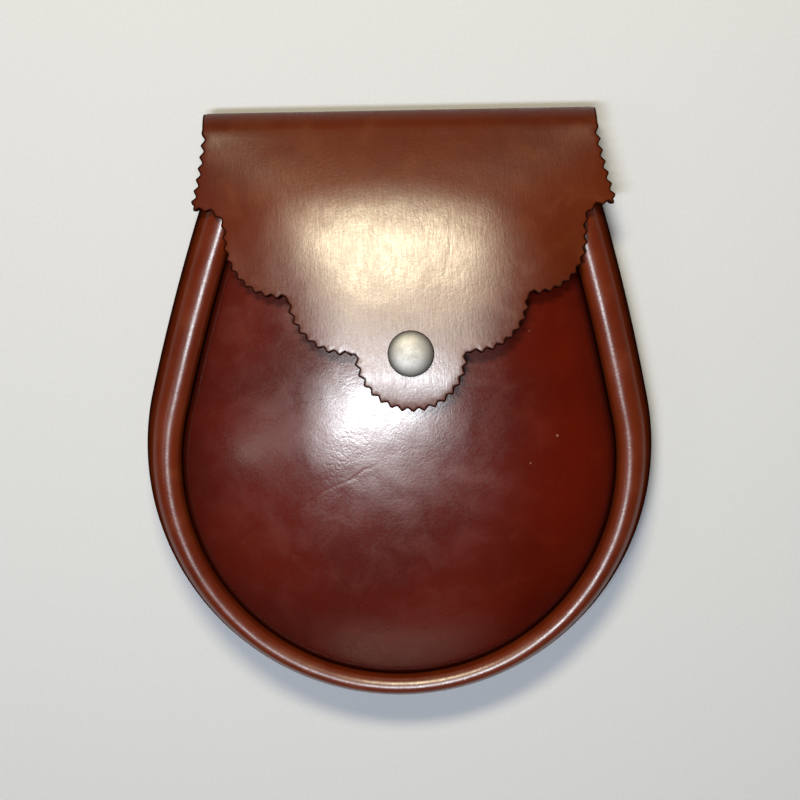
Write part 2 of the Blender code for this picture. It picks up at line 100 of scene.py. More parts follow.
# The strap loops behind.
LOOP_WIDTH, LOOP_INSIDE, LOOP_TAB, LOOP_BEND = 0.016, 0.033, 0.009, 0.006
LOOP_CLEAR, LOOP_DROP, STRAP_ROOM = 0.0028, 0.056, 0.0046

# What follows from them.
HALF_LENGTH = BODY_LENGTH / 2
ROUND_Y = RIM_RADIUS - HALF_LENGTH
FOLD_Y = HALF_LENGTH - FOLD_HALF * math.sin(FOLD_TILT)
BACK_Z = GAP + LEATHER + STRAP_ROOM
LAP_Z = BACK_Z - GAP - LEATHER
LAP_INSET = BACK_REST + LAP_Z
SNAP_STACK = 2 * GAP + SOCKET_SEAT + SOCKET_HEIGHT + STUD_PLATE
HOLE_RADIUS = NECK_RADIUS + GAP
FOLD_TURN = math.pi - FLAP_RISE
FOLD_MIDDLE = FOLD_RADIUS + FLAP_LEATHER
TAIL_Z = BACK_Z - GAP
FRONT_START = FOLD_MIDDLE - FOLD_RADIUS * math.sin(FLAP_RISE)
FRONT_HEIGHT = TAIL_Z + FOLD_RADIUS * (1 + math.cos(FLAP_RISE))
print("back face at", round(1000 * BACK_Z, 1), "mm, fold at", round(1000 * FOLD_Y, 1), "mm")

# %% [markdown]
# Some small tools serve every piece. The first makes a mesh, and keeps numbers on its points that the
# materials read to darken a cut edge or a seam. Others make a sheet or a line from it. One grows a sheet to
# the leather's thickness and keeps the result as a plain mesh, so that nothing is left to compute later.


# %% Mesh tools
def new_piece(name, points, edges, faces, numbers):
    """A mesh in the scene whose points carry the named numbers."""
    mesh = bpy.data.meshes.new(name)
    mesh.from_pydata([tuple(map(float, p)) for p in points], edges, [tuple(map(int, f)) for f in faces])
    for key, values in numbers.items():
        kind = "FLOAT_VECTOR" if np.ndim(values) == 2 else "FLOAT"
        field = mesh.attributes.new(key, kind, "POINT")
        field.data.foreach_set("vector" if kind == "FLOAT_VECTOR" else "value", np.ravel(values).astype("f4"))
    made = bpy.data.objects.new(name, mesh)
    bpy.context.scene.collection.objects.link(made)
    return made


def make_mesh(name, points, faces, numbers=None):
    made = new_piece(name, points, [], faces, numbers or {})
    made.data.shade_smooth()
    return made


def make_line(name, points, numbers, closed=False):
    """A mesh of edges only, for the node trees to follow."""
    last = len(points)
    edges = [(i, i + 1) for i in range(last - 1)] + ([(last - 1, 0)] if closed else [])
    return new_piece(name, points, edges, [], numbers)


def made_plain(piece, sharp=math.radians(48)):
    """Replaces a piece's modifiers by the mesh that they make."""
    seen = piece.evaluated_get(bpy.context.evaluated_depsgraph_get())
    mesh = bpy.data.meshes.new_from_object(seen)
    piece.modifiers.clear()
    piece.data = mesh
    mesh.shade_smooth()
    mesh.set_sharp_from_angle(angle=sharp)
    print(piece.name, "has", len(mesh.vertices), "points")
    return piece


def thickened(sheet, thickness, side, keep_corners=True, weights=None):
    """Leather of one thickness, grown out of the drawn face (side 1) or into it (side -1)."""
    solid = sheet.modifiers.new("leather", "SOLIDIFY")
    solid.thickness, solid.offset, solid.use_even_offset = thickness, side, keep_corners
    if weights is not None:
        group = sheet.vertex_groups.new(name="thickness")
        for index, weight in enumerate(weights):
            group.add([index], float(weight), "REPLACE")
        solid.vertex_group = "thickness"
    return made_plain(sheet)


def worn(points, size, amount, seed):
    """A smooth unevenness along z, as leather has that has been carried."""
    shift = Vector((seed, 2.3 * seed, -seed))
    return np.array([amount * noise.noise(Vector(p) / size + shift) for p in points])


def soft_step(share):
    share = np.clip(share, 0, 1)
    return share * share * (3 - 2 * share)


def ring_faces(rings, count):
    return [
        (r * count + i, (r + 1) * count + i, (r + 1) * count + (i + 1) % count, r * count + (i + 1) % count)
        for r in range(rings - 1)
        for i in range(count)
    ]


# %% [markdown]
# Node trees make the materials, the rim and the stitches. These tools keep their making short: one adds a
# node and joins its sockets by name, and the others make the few kinds of step that the trees are built of.


# %% Node tools
def new_tree(name, inputs):
    """An empty Geometry Nodes tree with the named inputs besides its geometry."""
    tree = bpy.data.node_groups.new(name, "GeometryNodeTree")
    tree.interface.new_socket("Geometry", in_out="INPUT", socket_type="NodeSocketGeometry")
    for label, kind in inputs:
        tree.interface.new_socket(label, in_out="INPUT", socket_type=kind)
    tree.interface.new_socket("Geometry", in_out="OUTPUT", socket_type="NodeSocketGeometry")
    return tree, tree.nodes.new("NodeGroupInput"), tree.nodes.new("NodeGroupOutput")


def feed(tree, value, socket):
    """Joins another node's output to the socket, or sets a plain value."""
    if isinstance(value, bpy.types.NodeSocket):
        tree.links.new(value, socket)
    else:
        socket.default_value = value


def linked(tree, kind, **joined):
    """A new node with some of its sockets fed, by socket name with _ for a space, or by number as s0, s1."""
    node = tree.nodes.new(kind)
    for key, value in joined.items():
        feed(tree, value, node.inputs[int(key[1:]) if key[1:].isdigit() else key.replace("_", " ")])
    return node


def field_of(tree, name, vector=False):
    node = linked(tree, "GeometryNodeInputNamedAttribute", Name=name)
    node.data_type = "FLOAT_VECTOR" if vector else "FLOAT"
    return node.outputs["Attribute"]


def maths(tree, operation, a, b):
    node = linked(tree, "ShaderNodeMath", s0=a, s1=b)
    node.operation = operation
    return node.outputs[0]


def vector_maths(tree, operation, a, b, answer="Vector"):
    """A step on two vectors. The answer is a vector, or a number where it is called Value."""
    node = linked(tree, "ShaderNodeVectorMath", s0=a)
    node.operation = operation
    feed(tree, b, node.inputs["Scale" if operation == "SCALE" else 1])
    return node.outputs[answer]


def use_tree(piece, tree, settings):
    """Adds the tree to the piece and sets its named inputs."""
    change = piece.modifiers.new(tree.name, "NODES")
    change.node_group = tree
    for item in tree.interface.items_tree:
        if item.in_out == "INPUT" and item.name in settings:
            change[item.identifier] = settings[item.name]
    return piece


# %% [markdown]
# The materials are made before the shapes, because the node trees below hand them on. Each is a chain of the
# same few steps: a smooth ramp from one range to another, cloudy noise, a blend of two colours, a number kept
# on the mesh, and a bump.


# %% Steps for the materials
def map_range(tree, value, low, high, to_low=0.0, to_high=1.0):
    node = linked(tree, "ShaderNodeMapRange", Value=value, From_Min=low, From_Max=high, To_Min=to_low, To_Max=to_high)
    node.interpolation_type = "SMOOTHSTEP"
    return node.outputs["Result"]


def clouds(tree, where, scale, detail=3.0, distortion=0.0):
    node = linked(tree, "ShaderNodeTexNoise", Vector=where, Scale=scale, Detail=detail, Distortion=distortion)
    return node.outputs["Fac"]


def blend_colour(tree, share, first, second):
    node = tree.nodes.new("ShaderNodeMix")
    node.data_type = "RGBA"
    for socket, value in ((node.inputs["Factor"], share), (node.inputs[6], first), (node.inputs[7], second)):
        feed(tree, (*value, 1.0) if isinstance(value, tuple) else value, socket)
    return node.outputs[2]


def attribute(tree, name, part="Fac"):
    node = tree.nodes.new("ShaderNodeAttribute")
    node.attribute_name = name
    return node.outputs[part]


def bumped(tree, height, distance, before=None):
    joined = {"Height": height, "Distance": distance, "Strength": 1.0}
    if before is not None:
        joined["Normal"] = before
    return linked(tree, "ShaderNodeBump", **joined).outputs["Normal"]


def new_material(name):
    made = bpy.data.materials.new(name)
    made.use_nodes = True
    tree = made.node_tree
    return made, tree, tree.nodes["Principled BSDF"]


# %% [markdown]
# The leather is dyed through, pressed smooth and polished. So it has a clear gloss over a grain of very fine
# pores, creases where it was bent, and cloudy dye. Its colour is darkened with painted shade in the seam's
# groove, down the rim's outer side and towards the flap's fold. The flap's cut edge is dyed dark, and the gloss
# is lost at all of these. A picture of leather laid on each piece would stretch at the folds. This grain is
# worked out in space instead, so it runs evenly over every piece. Broad unevenness stands highest, and the
# fine grain is far lower.

# %% The leather builder
CLOUDS, PATCHES, MOTTLES, SPECKS, WAVES = 24.0, 60.0, 95.0, 105.0, 160.0  # to the metre
CREASES, GRAINS, STREAKS, PORES = 430.0, 1000.0, 1300.0, 1500.0  # to the metre
CLOUD_RISE, MOTTLE_RISE, CREASE_RISE, GRAIN_RISE = 0.0006, 0.00006, 0.000012, 0.000016
PORE_RISE, FOLD_DEPTH, STREAK_RISE, CREASE_BEND = 0.000010, 0.00002, 0.00003, 0.004
# BURNISH_AND_SHADE is the dark of the flap's dyed cut edge and also of painted shade in the seam, down the rim and
# towards the fold.
BURNISH_AND_SHADE, SPECK_COLOUR = (0.008, 0.0022, 0.0016), (0.30, 0.16, 0.09)


def crease_line(tree, where, start, end, half_width):
    """A share along a worn fold between two places of the object, seen from above. It wanders a little."""
    run = Vector((end[0] - start[0], end[1] - start[1], 0.0))
    way, side = run.normalized(), Vector((-run.y, run.x, 0.0)).normalized()
    from_start = vector_maths(tree, "SUBTRACT", where, (*start, 0.0))
    along, aside = (vector_maths(tree, "DOT_PRODUCT", from_start, part, "Value") for part in (way, side))
    wander = map_range(tree, clouds(tree, where, PATCHES), 0.2, 0.8, -0.0012, 0.0012)
    away = maths(tree, "ABSOLUTE", maths(tree, "ADD", aside, wander), 0.0)
    near = map_range(tree, away, 0.0, half_width, 1.0, 0.0)
    begun = map_range(tree, along, 0.0, 0.2 * run.length)
    ended = map_range(tree, along, 0.7 * run.length, run.length, 1.0, 0.0)
    return maths(tree, "MULTIPLY", near, maths(tree, "MULTIPLY", begun, ended))


def middle_share(tree, where, middle, reach):
    """A share that falls off round an oval seen from above: the leather that hands have kept polished."""
    away = vector_maths(tree, "SUBTRACT", where, (*middle, 0.0))
    oval = vector_maths(tree, "MULTIPLY", away, (1 / reach[0], 1 / reach[1], 0.0))
    out = vector_maths(tree, "LENGTH", oval, (0.0, 0.0, 0.0), "Value")
    return map_range(tree, out, 0.72, 1.25, 1.0, 0.12)


def new_leather(name, tone, dark, light, rough_share, dark_at=None, streaks=False, seed=0.0, folds=(),
                shine=0.55, polished=None, wax=(1.0, 0.97, 0.92), dulled=(0.1, 0.85)):
    """Polished leather in three tones.

    dark_at makes the share by which a place is darkened, by painted shade or by the dark dye of the flap's cut
    edge, and dulled says between which shares the gloss goes. polished is the oval that has kept its gloss,
    folds are the creases worn into the piece, and wax tints the gloss.
    """
    made, tree, shader = new_material(name)
    place = tree.nodes.new("ShaderNodeTexCoord").outputs["Object"]
    where = vector_maths(tree, "ADD", place, (seed, -seed, 0.5 * seed))
    broad, middle = clouds(tree, where, CLOUDS), clouds(tree, where, MOTTLES, 4.0, 0.6)
    fine = clouds(tree, where, GRAINS)
    colour = blend_colour(tree, map_range(tree, broad, 0.35, 0.72, 0.0, 0.6), tone, dark)
    colour = blend_colour(tree, map_range(tree, middle, 0.45, 0.8, 0.0, 0.35), colour, light)
    colour = blend_colour(tree, map_range(tree, fine, 0.45, 0.8, 0.0, 0.35), colour, dark)
    specks = linked(tree, "ShaderNodeTexVoronoi", Vector=where, Scale=SPECKS)
    chance = linked(tree, "ShaderNodeSeparateColor", Color=specks.outputs["Color"]).outputs[0]
    spot = map_range(tree, specks.outputs["Distance"], 0.02, 0.07, 0.8, 0.0)
    speck = maths(tree, "MULTIPLY", map_range(tree, chance, 0.86, 0.9), spot)
    colour = blend_colour(tree, speck, colour, SPECK_COLOUR)
    kept = 1.0 if polished is None else middle_share(tree, place, *polished)
    if dark_at is not None:
        # Painted shade, and the dark dye of the flap's cut edge, darken the colour where dark_at says, and take the
        # gloss away there.
        burnish_and_shade = dark_at(tree, place)
        colour = blend_colour(tree, burnish_and_shade, colour, BURNISH_AND_SHADE)
        kept = maths(tree, "MULTIPLY", map_range(tree, burnish_and_shade, *dulled, 1.0, 0.0), kept)
    shader.inputs["Specular Tint"].default_value = (*wax, 1.0)
    for socket in ("Specular IOR Level", "Coat Weight"):
        shader.inputs[socket].default_value = shine
        if dark_at is not None:
            tree.links.new(maths(tree, "MULTIPLY", kept, shine), shader.inputs[socket])
    tree.links.new(colour, shader.inputs["Base Color"])
    bent = linked(tree, "ShaderNodeTexNoise", Vector=where, Scale=WAVES, Detail=2.0)
    push = vector_maths(tree, "SCALE", bent.outputs["Color"], CREASE_BEND)
    wandering = vector_maths(tree, "ADD", where, push)
    cells = linked(tree, "ShaderNodeTexVoronoi", Vector=wandering, Scale=CREASES)
    cells.feature = "DISTANCE_TO_EDGE"
    crease = map_range(tree, cells.outputs["Distance"], 0.0, 0.22)
    shown = map_range(tree, clouds(tree, where, PATCHES), 0.44, 0.7, 0.0, 0.8)
    crease = blend_colour(tree, shown, (1.0, 1.0, 1.0), crease)
    pores = linked(tree, "ShaderNodeTexVoronoi", Vector=where, Scale=PORES).outputs["Distance"]
    rough = map_range(tree, middle, 0.3, 0.75, rough_share - 0.05, rough_share + 0.07)
    rough = maths(tree, "ADD", rough, map_range(tree, fine, 0.3, 0.8, -0.03, 0.05))
    normal = bumped(tree, broad, CLOUD_RISE)
    for height, rise in ((middle, MOTTLE_RISE), (crease, CREASE_RISE), (fine, GRAIN_RISE), (pores, PORE_RISE)):
        normal = bumped(tree, height, rise, normal)
    for start, end, half_width in folds:
        normal = bumped(tree, crease_line(tree, place, start, end, half_width), -FOLD_DEPTH, normal)
    if streaks:
        laid = vector_maths(tree, "MULTIPLY", attribute(tree, "laid", "Vector"), (1.0, 0.16, 1.0))
        lines = clouds(tree, laid, STREAKS, 3.0, 0.6)
        normal = bumped(tree, lines, STREAK_RISE, normal)
        rough = maths(tree, "ADD", rough, map_range(tree, lines, 0.35, 0.7, -0.03, 0.05))
    tree.links.new(rough, shader.inputs["Roughness"])
    tree.links.new(normal, shader.inputs["Normal"])
    shader.inputs["Coat Roughness"].default_value = 0.8 * rough_share
    tree.links.new(normal, shader.inputs["Coat Normal"])
    return made


# %% [markdown]
# Each piece has a tone and a wear of its own. The front is the reddest and the smoothest. The flap is
# browner, and its fine brushed lines follow its flat pattern round the fold. Hands have kept the middle of
# both glossiest. Painted shade darkens the rim's outer side. The back and its straps are rubbed dull by the wearer.


# %% Five leathers
def near_seam(tree, where):
    """Painted shade where the front goes under the rim: a narrow band in a broad soft one."""
    close = map_range(tree, attribute(tree, "seam"), 0.0006, 0.0050, 0.36, 0.0)
    return maths(tree, "ADD", close, map_range(tree, attribute(tree, "seam"), 0.0, 0.018, 0.34, 0.0))


def near_cut(tree, where):
    """Dark dye on the flap's cut edge, and painted shade a little towards the fold."""
    cut = map_range(tree, attribute(tree, "cut_edge"), 0.00015, 0.00095, 0.97, 0.0)
    up = linked(tree, "ShaderNodeSeparateXYZ", Vector=where).outputs["Y"]
    return maths(tree, "MAXIMUM", cut, map_range(tree, up, 0.060, 0.094, 0.0, 0.2))


def rim_depth(tree, where):
    """Painted shade down the rim's outer side, less so where it turns under, and a little in the seam's groove."""
    low = map_range(tree, attribute(tree, "level"), 0.0162, 0.0255, 0.97, 0.0)
    side = map_range(tree, attribute(tree, "level"), 0.0040, 0.0130, 0.5, 1.0)
    seam = map_range(tree, attribute(tree, "fixed_inset"), 0.0031, 0.0043, 0.0, 0.3)
    return maths(tree, "MAXIMUM", maths(tree, "MULTIPLY", low, side), seam)


front_leather = new_leather(
    "front_leather", (0.077, 0.0049, 0.0013), (0.041, 0.0026, 0.0009), (0.102, 0.0096, 0.0018), 0.30, near_seam,
    seed=1.7, folds=[((-0.004, -0.014), (-0.043, -0.037), 0.0010), ((0.018, -0.030), (0.030, -0.052), 0.0010)],
    shine=0.58, polished=((-0.014, -0.010), (0.057, 0.086)),
)
flap_leather = new_leather(
    "flap_leather", (0.090, 0.0140, 0.0027), (0.056, 0.0068, 0.0017), (0.138, 0.033, 0.0064), 0.42, near_cut,
    streaks=True, seed=4.1, folds=[((0.0172, 0.071), (0.0125, 0.038), 0.0012)], shine=1.0,
    polished=((-0.004, 0.026), (0.055, 0.042)), wax=(1.0, 0.98, 0.94),
)
rim_leather = new_leather(
    "rim_leather", (0.100, 0.0130, 0.0024), (0.064, 0.0060, 0.0016), (0.15, 0.029, 0.0056), 0.33, rim_depth, seed=8.3,
    shine=0.40, dulled=(0.0, 0.20),
)
back_leather = new_leather(
    "back_leather", (0.10, 0.020, 0.010), (0.06, 0.010, 0.006), (0.15, 0.04, 0.018), 0.48, seed=12.9
)
strap_leather = new_leather(
    "strap_leather", (0.085, 0.016, 0.009), (0.05, 0.009, 0.006), (0.14, 0.036, 0.018), 0.46, seed=17.2
)
leathers = (front_leather, flap_leather, rim_leather, back_leather, strap_leather)
print("leathers:", [leather.name for leather in leathers])

# %% [markdown]
# The snap is brass plated with nickel. Its cap has been rubbed satin by the hand that opens it, and painted
# shade darkens it round and under its rolled edge. The thread is waxed linen, nearly the colour of the leather.


# %% Metal and thread
RUBS, SCRATCHES, RUB_RISE, SCRATCH_RISE = 420.0, 2600.0, 0.000005, 0.000004
# CAP_EDGE_SHADE is painted shade: a near black laid round and under the cap's rolled edge.
NICKEL, DULL_NICKEL, CAP_EDGE_SHADE = (0.37, 0.36, 0.35), (0.335, 0.325, 0.315), (0.02, 0.016, 0.014)
THREAD, THREAD_TWIST_SHADE, WAXED = (0.13, 0.06, 0.035), (0.05, 0.018, 0.010), (0.03, 0.012, 0.008)
TWISTS, TWIST_RISE = 900.0, 0.00006


def new_nickel(name, roughness):
    made, tree, shader = new_material(name)
    where = tree.nodes.new("ShaderNodeTexCoord").outputs["Object"]
    cloudy, fine = clouds(tree, where, RUBS, 4.0), clouds(tree, where, SCRATCHES, 2.0)
    colour = blend_colour(tree, map_range(tree, cloudy, 0.35, 0.7), NICKEL, DULL_NICKEL)
    # Painted shade round and under the cap's rolled edge, by the share kept on its rows.
    cap_edge_shade = map_range(tree, attribute(tree, "cap_edge_shade"), 0.0, 1.0, 0.0, 0.93)
    colour = blend_colour(tree, cap_edge_shade, colour, CAP_EDGE_SHADE)
    tree.links.new(colour, shader.inputs["Base Color"])
    rough = map_range(tree, cloudy, 0.3, 0.75, roughness - 0.02, roughness + 0.03)
    rough = maths(tree, "ADD", rough, map_range(tree, fine, 0.3, 0.8, -0.04, 0.05))
    tree.links.new(rough, shader.inputs["Roughness"])
    normal = bumped(tree, cloudy, RUB_RISE)
    tree.links.new(bumped(tree, fine, SCRATCH_RISE, normal), shader.inputs["Normal"])
    shader.inputs["Metallic"].default_value = 1.0
    return made


def new_thread():
    made, tree, shader = new_material("waxed_thread")
    where = tree.nodes.new("ShaderNodeTexCoord").outputs["Object"]
    twist = linked(tree, "ShaderNodeTexWave", Vector=where, Scale=TWISTS, Distortion=3.0).outputs["Fac"]
    # Painted shade: the thread is darker in the bands between the twists of its plies.
    colour = blend_colour(tree, twist, THREAD_TWIST_SHADE, THREAD)
    colour = blend_colour(tree, map_range(tree, clouds(tree, where, 130.0), 0.4, 0.7), colour, WAXED)
    tree.links.new(colour, shader.inputs["Base Color"])
    tree.links.new(map_range(tree, twist, 0.0, 1.0, 0.45, 0.62), shader.inputs["Roughness"])
    tree.links.new(bumped(tree, twist, TWIST_RISE), shader.inputs["Normal"])
    return made


cap_nickel, stud_nickel, thread = new_nickel("cap_nickel", 0.62), new_nickel("stud_nickel", 0.34), new_thread()
print("metals and thread:", cap_nickel.name, stud_nickel.name, thread.name)

# %% [markdown]
# The pouch seen from the front is nearly a circle below. Its sides run up from the circle in a very flat
# bow. The rim is a roll that follows this outline. It is widest at the sides and narrower below, where the
# leather was pulled tighter round the curve. Arcs are used and not a traced curve, because each point's
# outward direction comes with them.


# %% The outline
def side_round():
    """The middle of the side's very flat arc."""
    inward = SIDE_BOW - RIM_RADIUS
    return (-inward * math.cos(SIDE_START), ROUND_Y - inward * math.sin(SIDE_START))


def outline_at(turn):
    """A point of the right half's outline and its outward direction, by angle up from +X."""
    out = np.array([math.cos(turn), math.sin(turn)])
    if turn <= SIDE_START:
        return np.array([0.0, ROUND_Y]) + RIM_RADIUS * out, out
    return np.array(side_round()) + SIDE_BOW * out, out


def half_outline(top_y, side_steps=26, round_steps=100):
    top = math.asin((top_y - side_round()[1]) / SIDE_BOW)
    side = np.linspace(top, SIDE_START, side_steps + 1)[:-1]
    below = np.linspace(SIDE_START, -math.pi / 2, round_steps + 1)
    found = [outline_at(turn) for turn in (*side, *below)]
    return np.array([p for p, _ in found]), np.array([n for _, n in found])


def open_outline(top_y):
    points, out = half_outline(top_y)
    flip = np.array([-1.0, 1.0])
    return np.concatenate([points, points[-2::-1] * flip]), np.concatenate([out, out[-2::-1] * flip])


def crest_inset(out):
    return CREST_SIDE + (CREST_SIDE - CREST_BELOW) * out[:, 1]


def closed_loop(top_y, extra, steps=60):
    """The outline set in to the crest and by the extra, and closed straight across at the top."""
    points, out = open_outline(top_y)
    curve = points - (crest_inset(out) + extra)[:, None] * out
    across = np.linspace(curve[-1], curve[0], steps + 1)[1:-1]
    return np.concatenate([curve, across])


rim_points, rim_out = open_outline(FOLD_Y - MOUTH_DROP)
rim_length = np.sum(np.linalg.norm(np.diff(rim_points, axis=0), axis=1))
print("the rim runs", round(1000 * rim_length), "mm from end to end")

# %% [markdown]
# The front panel was pressed wet over a form, which gives the low dome. It is highest a little above the
# middle of the circle, falls off faster towards the seam, and is nearly flat across the mouth so that the
# flap can lie on it. It could be sculpted, but a formula gives its height at any place. So the flap and the
# snap can be laid on the same dome.


# %% The dome
def dome_base_table():
    """The foot of the dome as distances from its middle, by angle: the seam below and a round over the top."""
    points, out = half_outline(FOLD_Y)
    curve = points - (crest_inset(out) + BEAD)[:, None] * out
    top, direction = curve[0], out[0]
    radius = top[0] / direction[0]
    middle = top[1] - radius * direction[1]
    turns = np.linspace(math.pi / 2, math.atan2(direction[1], direction[0]), 60)[:-1]
    cap = np.stack([radius * np.cos(turns), middle + radius * np.sin(turns)], axis=1)
    away = np.concatenate([cap, curve]) - np.array([0.0, ROUND_Y + DOME_MIDDLE])
    return np.arctan2(away[:, 1], away[:, 0])[::-1], np.linalg.norm(away, axis=1)[::-1]


BASE_ANGLES, BASE_DISTANCES = dome_base_table()


def dome_height(x, y):
    away_x, away_y = np.abs(x), y - ROUND_Y - DOME_MIDDLE
    reach = np.interp(np.arctan2(away_y, away_x), BASE_ANGLES, BASE_DISTANCES)
    share = np.hypot(away_x, away_y) / reach
    toward_mouth = np.clip(away_y / (FOLD_Y - MOUTH_DROP - ROUND_Y - DOME_MIDDLE), 0, 1)
    rise = np.maximum(1 - share**DOME_POWER, -1)
    return DOME_BASE + DOME_RISE * rise * (1 - DOME_DROP * toward_mouth**2)


def flap_place(across, down):
    """Flap measures, across and down from the fold's edge, as x and y."""
    x = FLAP_SHIFT + across * math.cos(FOLD_TILT) + down * math.sin(FLAP_SKEW)
    y = FOLD_Y + across * math.sin(FOLD_TILT) - down * math.cos(FLAP_SKEW)
    return x, y


SNAP_PLACE = flap_place(0.0, SNAP_DROP)


def soft_most(a, b, softness):
    """The larger of two heights, blended where they meet."""
    return (a + b + np.sqrt((a - b) ** 2 + softness**2)) / 2


def flap_height(across, down):
    """Height of the flap's inner face on the front: an arch from the fold to the snap, kept off the body."""
    x, y = flap_place(across, down)
    reach = SNAP_DROP - FRONT_START
    share = (down - FRONT_START) / reach
    side = np.abs(across) / FOLD_HALF
    climb = reach * math.tan(FLAP_RISE)
    at_snap = float(dome_height(*SNAP_PLACE)) + SNAP_STACK - FRONT_HEIGHT
    beyond = np.maximum(share - 1 - SOCKET_RADIUS / reach, 0)
    arch = climb * share + (at_snap - climb) * share**2 - TIP_FALL * beyond**2
    free = FRONT_HEIGHT + arch - side**4 * (FLAP_SAG * share + FLAP_FALL * share**2)
    body = soft_most(dome_height(x, y), RIM_CREST, LIP) + FLAP_EASE
    settled = soft_step((down - FRONT_START) / FLAP_SETTLE)
    return free + settled * (soft_most(free, body, LIP) - free)


def surface_direction(x, y, step=0.0005):
    slope_x = (dome_height(x + step, y) - dome_height(x - step, y)) / (2 * step)
    slope_y = (dome_height(x, y + step) - dome_height(x, y - step)) / (2 * step)
    return Vector((-float(slope_x), -float(slope_y), 1)).normalized()


SNAP_OUT = surface_direction(*SNAP_PLACE)
FLAP_FOOT = Vector((*SNAP_PLACE, float(flap_height(0.0, SNAP_DROP))))
depth = 0.0
for _ in range(8):
    here = FLAP_FOOT - depth * SNAP_OUT
    depth += here.z - float(dome_height(here.x, here.y))
STUD_FOOT = FLAP_FOOT - depth * SNAP_OUT
print("the flap lies", round(1000 * depth, 2), "mm above the front panel at the snap")

# %% [markdown]
# The panel's edge is turned in at the seam under a round lip, and a hole takes the stud. A disc could be
# subdivided and pushed up, but its squares would cut across the seam. Rings of points follow the seam and
# close in on the hole. Away from the seam the leather sags a little, unevenly, as it does when carried.

# %% The front panel
EDGE_STEPS, EDGE_SEAM, PANEL_SAG, PANEL_FREE = 8, 0.0015, 0.0002, 0.012


def make_front_panel():
    """Rings of points: down the turned-in edge, over the lip, and then in to the hole for the stud."""
    loop = closed_loop(FOLD_Y - MOUTH_DROP, BEAD + GAP)
    count = len(loop)
    trimmed = soft_step((loop[0, 1] - loop[:, 1]) / TURN_TAPER)
    turned_in = MOUTH_TURN + (SEAM_TURN - MOUTH_TURN) * trimmed
    edge_top = dome_height(loop[:, 0], loop[:, 1]) - LIP
    rings = [(loop, edge_top - turned_in), (loop, edge_top - 0.5 * turned_in), (loop, edge_top)]
    from_edge = [0, 0, 0]
    for k in range(1, EDGE_STEPS + 1):
        angle = math.pi / 2 * k / EDGE_STEPS
        back = LIP * (1 - math.cos(angle))
        ring = closed_loop(FOLD_Y - MOUTH_DROP - back, BEAD + GAP + back)
        rings.append((ring, dome_height(ring[:, 0], ring[:, 1]) - LIP * (1 - math.sin(angle))))
        from_edge.append(back + EDGE_SEAM * k / EDGE_STEPS)
    inner = rings[-1][0]
    hole = np.array(STUD_FOOT)[:2]
    toward = inner - hole
    reach = np.linalg.norm(toward, axis=1)
    hole_ring = hole + HOLE_RADIUS * toward / reach[:, None]
    for share in (*np.linspace(0, 0.12, 7)[1:], *np.linspace(0.12, 0.97, 34)[1:], 1.0):
        ring = inner + share * (hole_ring - inner)
        rings.append((ring, dome_height(ring[:, 0], ring[:, 1])))
        from_edge.append(from_edge[EDGE_STEPS + 2] + share * float(np.mean(reach)))
    points = np.array([(*p, z) for ring, height in rings for p, z in zip(ring, height)])
    seam = np.repeat(np.array(from_edge), count)
    free = soft_step(seam / PANEL_FREE)
    points[:, 2] -= free * (PANEL_SAG + worn(points, size=0.034, amount=0.0002, seed=3.0))
    panel = make_mesh("front_leather_panel", points, ring_faces(len(rings), count), {"seam": seam})
    return thickened(panel, LEATHER, -1)


front_panel = make_front_panel()

# %% [markdown]
# The rim is one strip of leather. Its section is a roll: up from the front seam, over the crest, round the
# outside, flat where the pouch lies, and then up to a lap that the back is sewn on. Geometry Nodes sweep
# that section along the outline. Each point of the outline carries its outward direction and how far in the
# crest runs there, and each point of the section carries how far in it lies and how much of the crest's
# inset it takes, so the roll grows and narrows by itself.


# %% The rim by a sweep
def rim_section():
    """Rows of fixed inset, share of the crest's inset, and height."""
    arc = np.linspace(0, math.pi / 2, 11)
    rows = [(BEAD, 1, RIM_CREST - BEAD - SEAM_TURN), (BEAD, 1, RIM_CREST - BEAD - SEAM_TURN / 2)]
    rows += [(BEAD * math.cos(a), 1, RIM_CREST - BEAD + BEAD * math.sin(a)) for a in arc]
    rows += [(0, 1 - math.sin(a), RIM_MIDDLE + (RIM_CREST - RIM_MIDDLE) * math.cos(a)) for a in arc[1:]]
    rows += [(0, 1 - math.cos(a), RIM_MIDDLE * (1 - math.sin(a))) for a in arc[1:]]
    start, half = BACK_REST, LAP_Z / 2
    rows += [(start + half * math.sin(a), 1, half * (1 - math.cos(a))) for a in arc[:-1]]
    rows += [(start + half * (2 - math.cos(a)), 1, half * (1 + math.sin(a))) for a in arc]
    return np.array(rows + [(start + LAP_Z + BACK_LAP * s, 1, LAP_Z) for s in (0.33, 0.67, 1)])


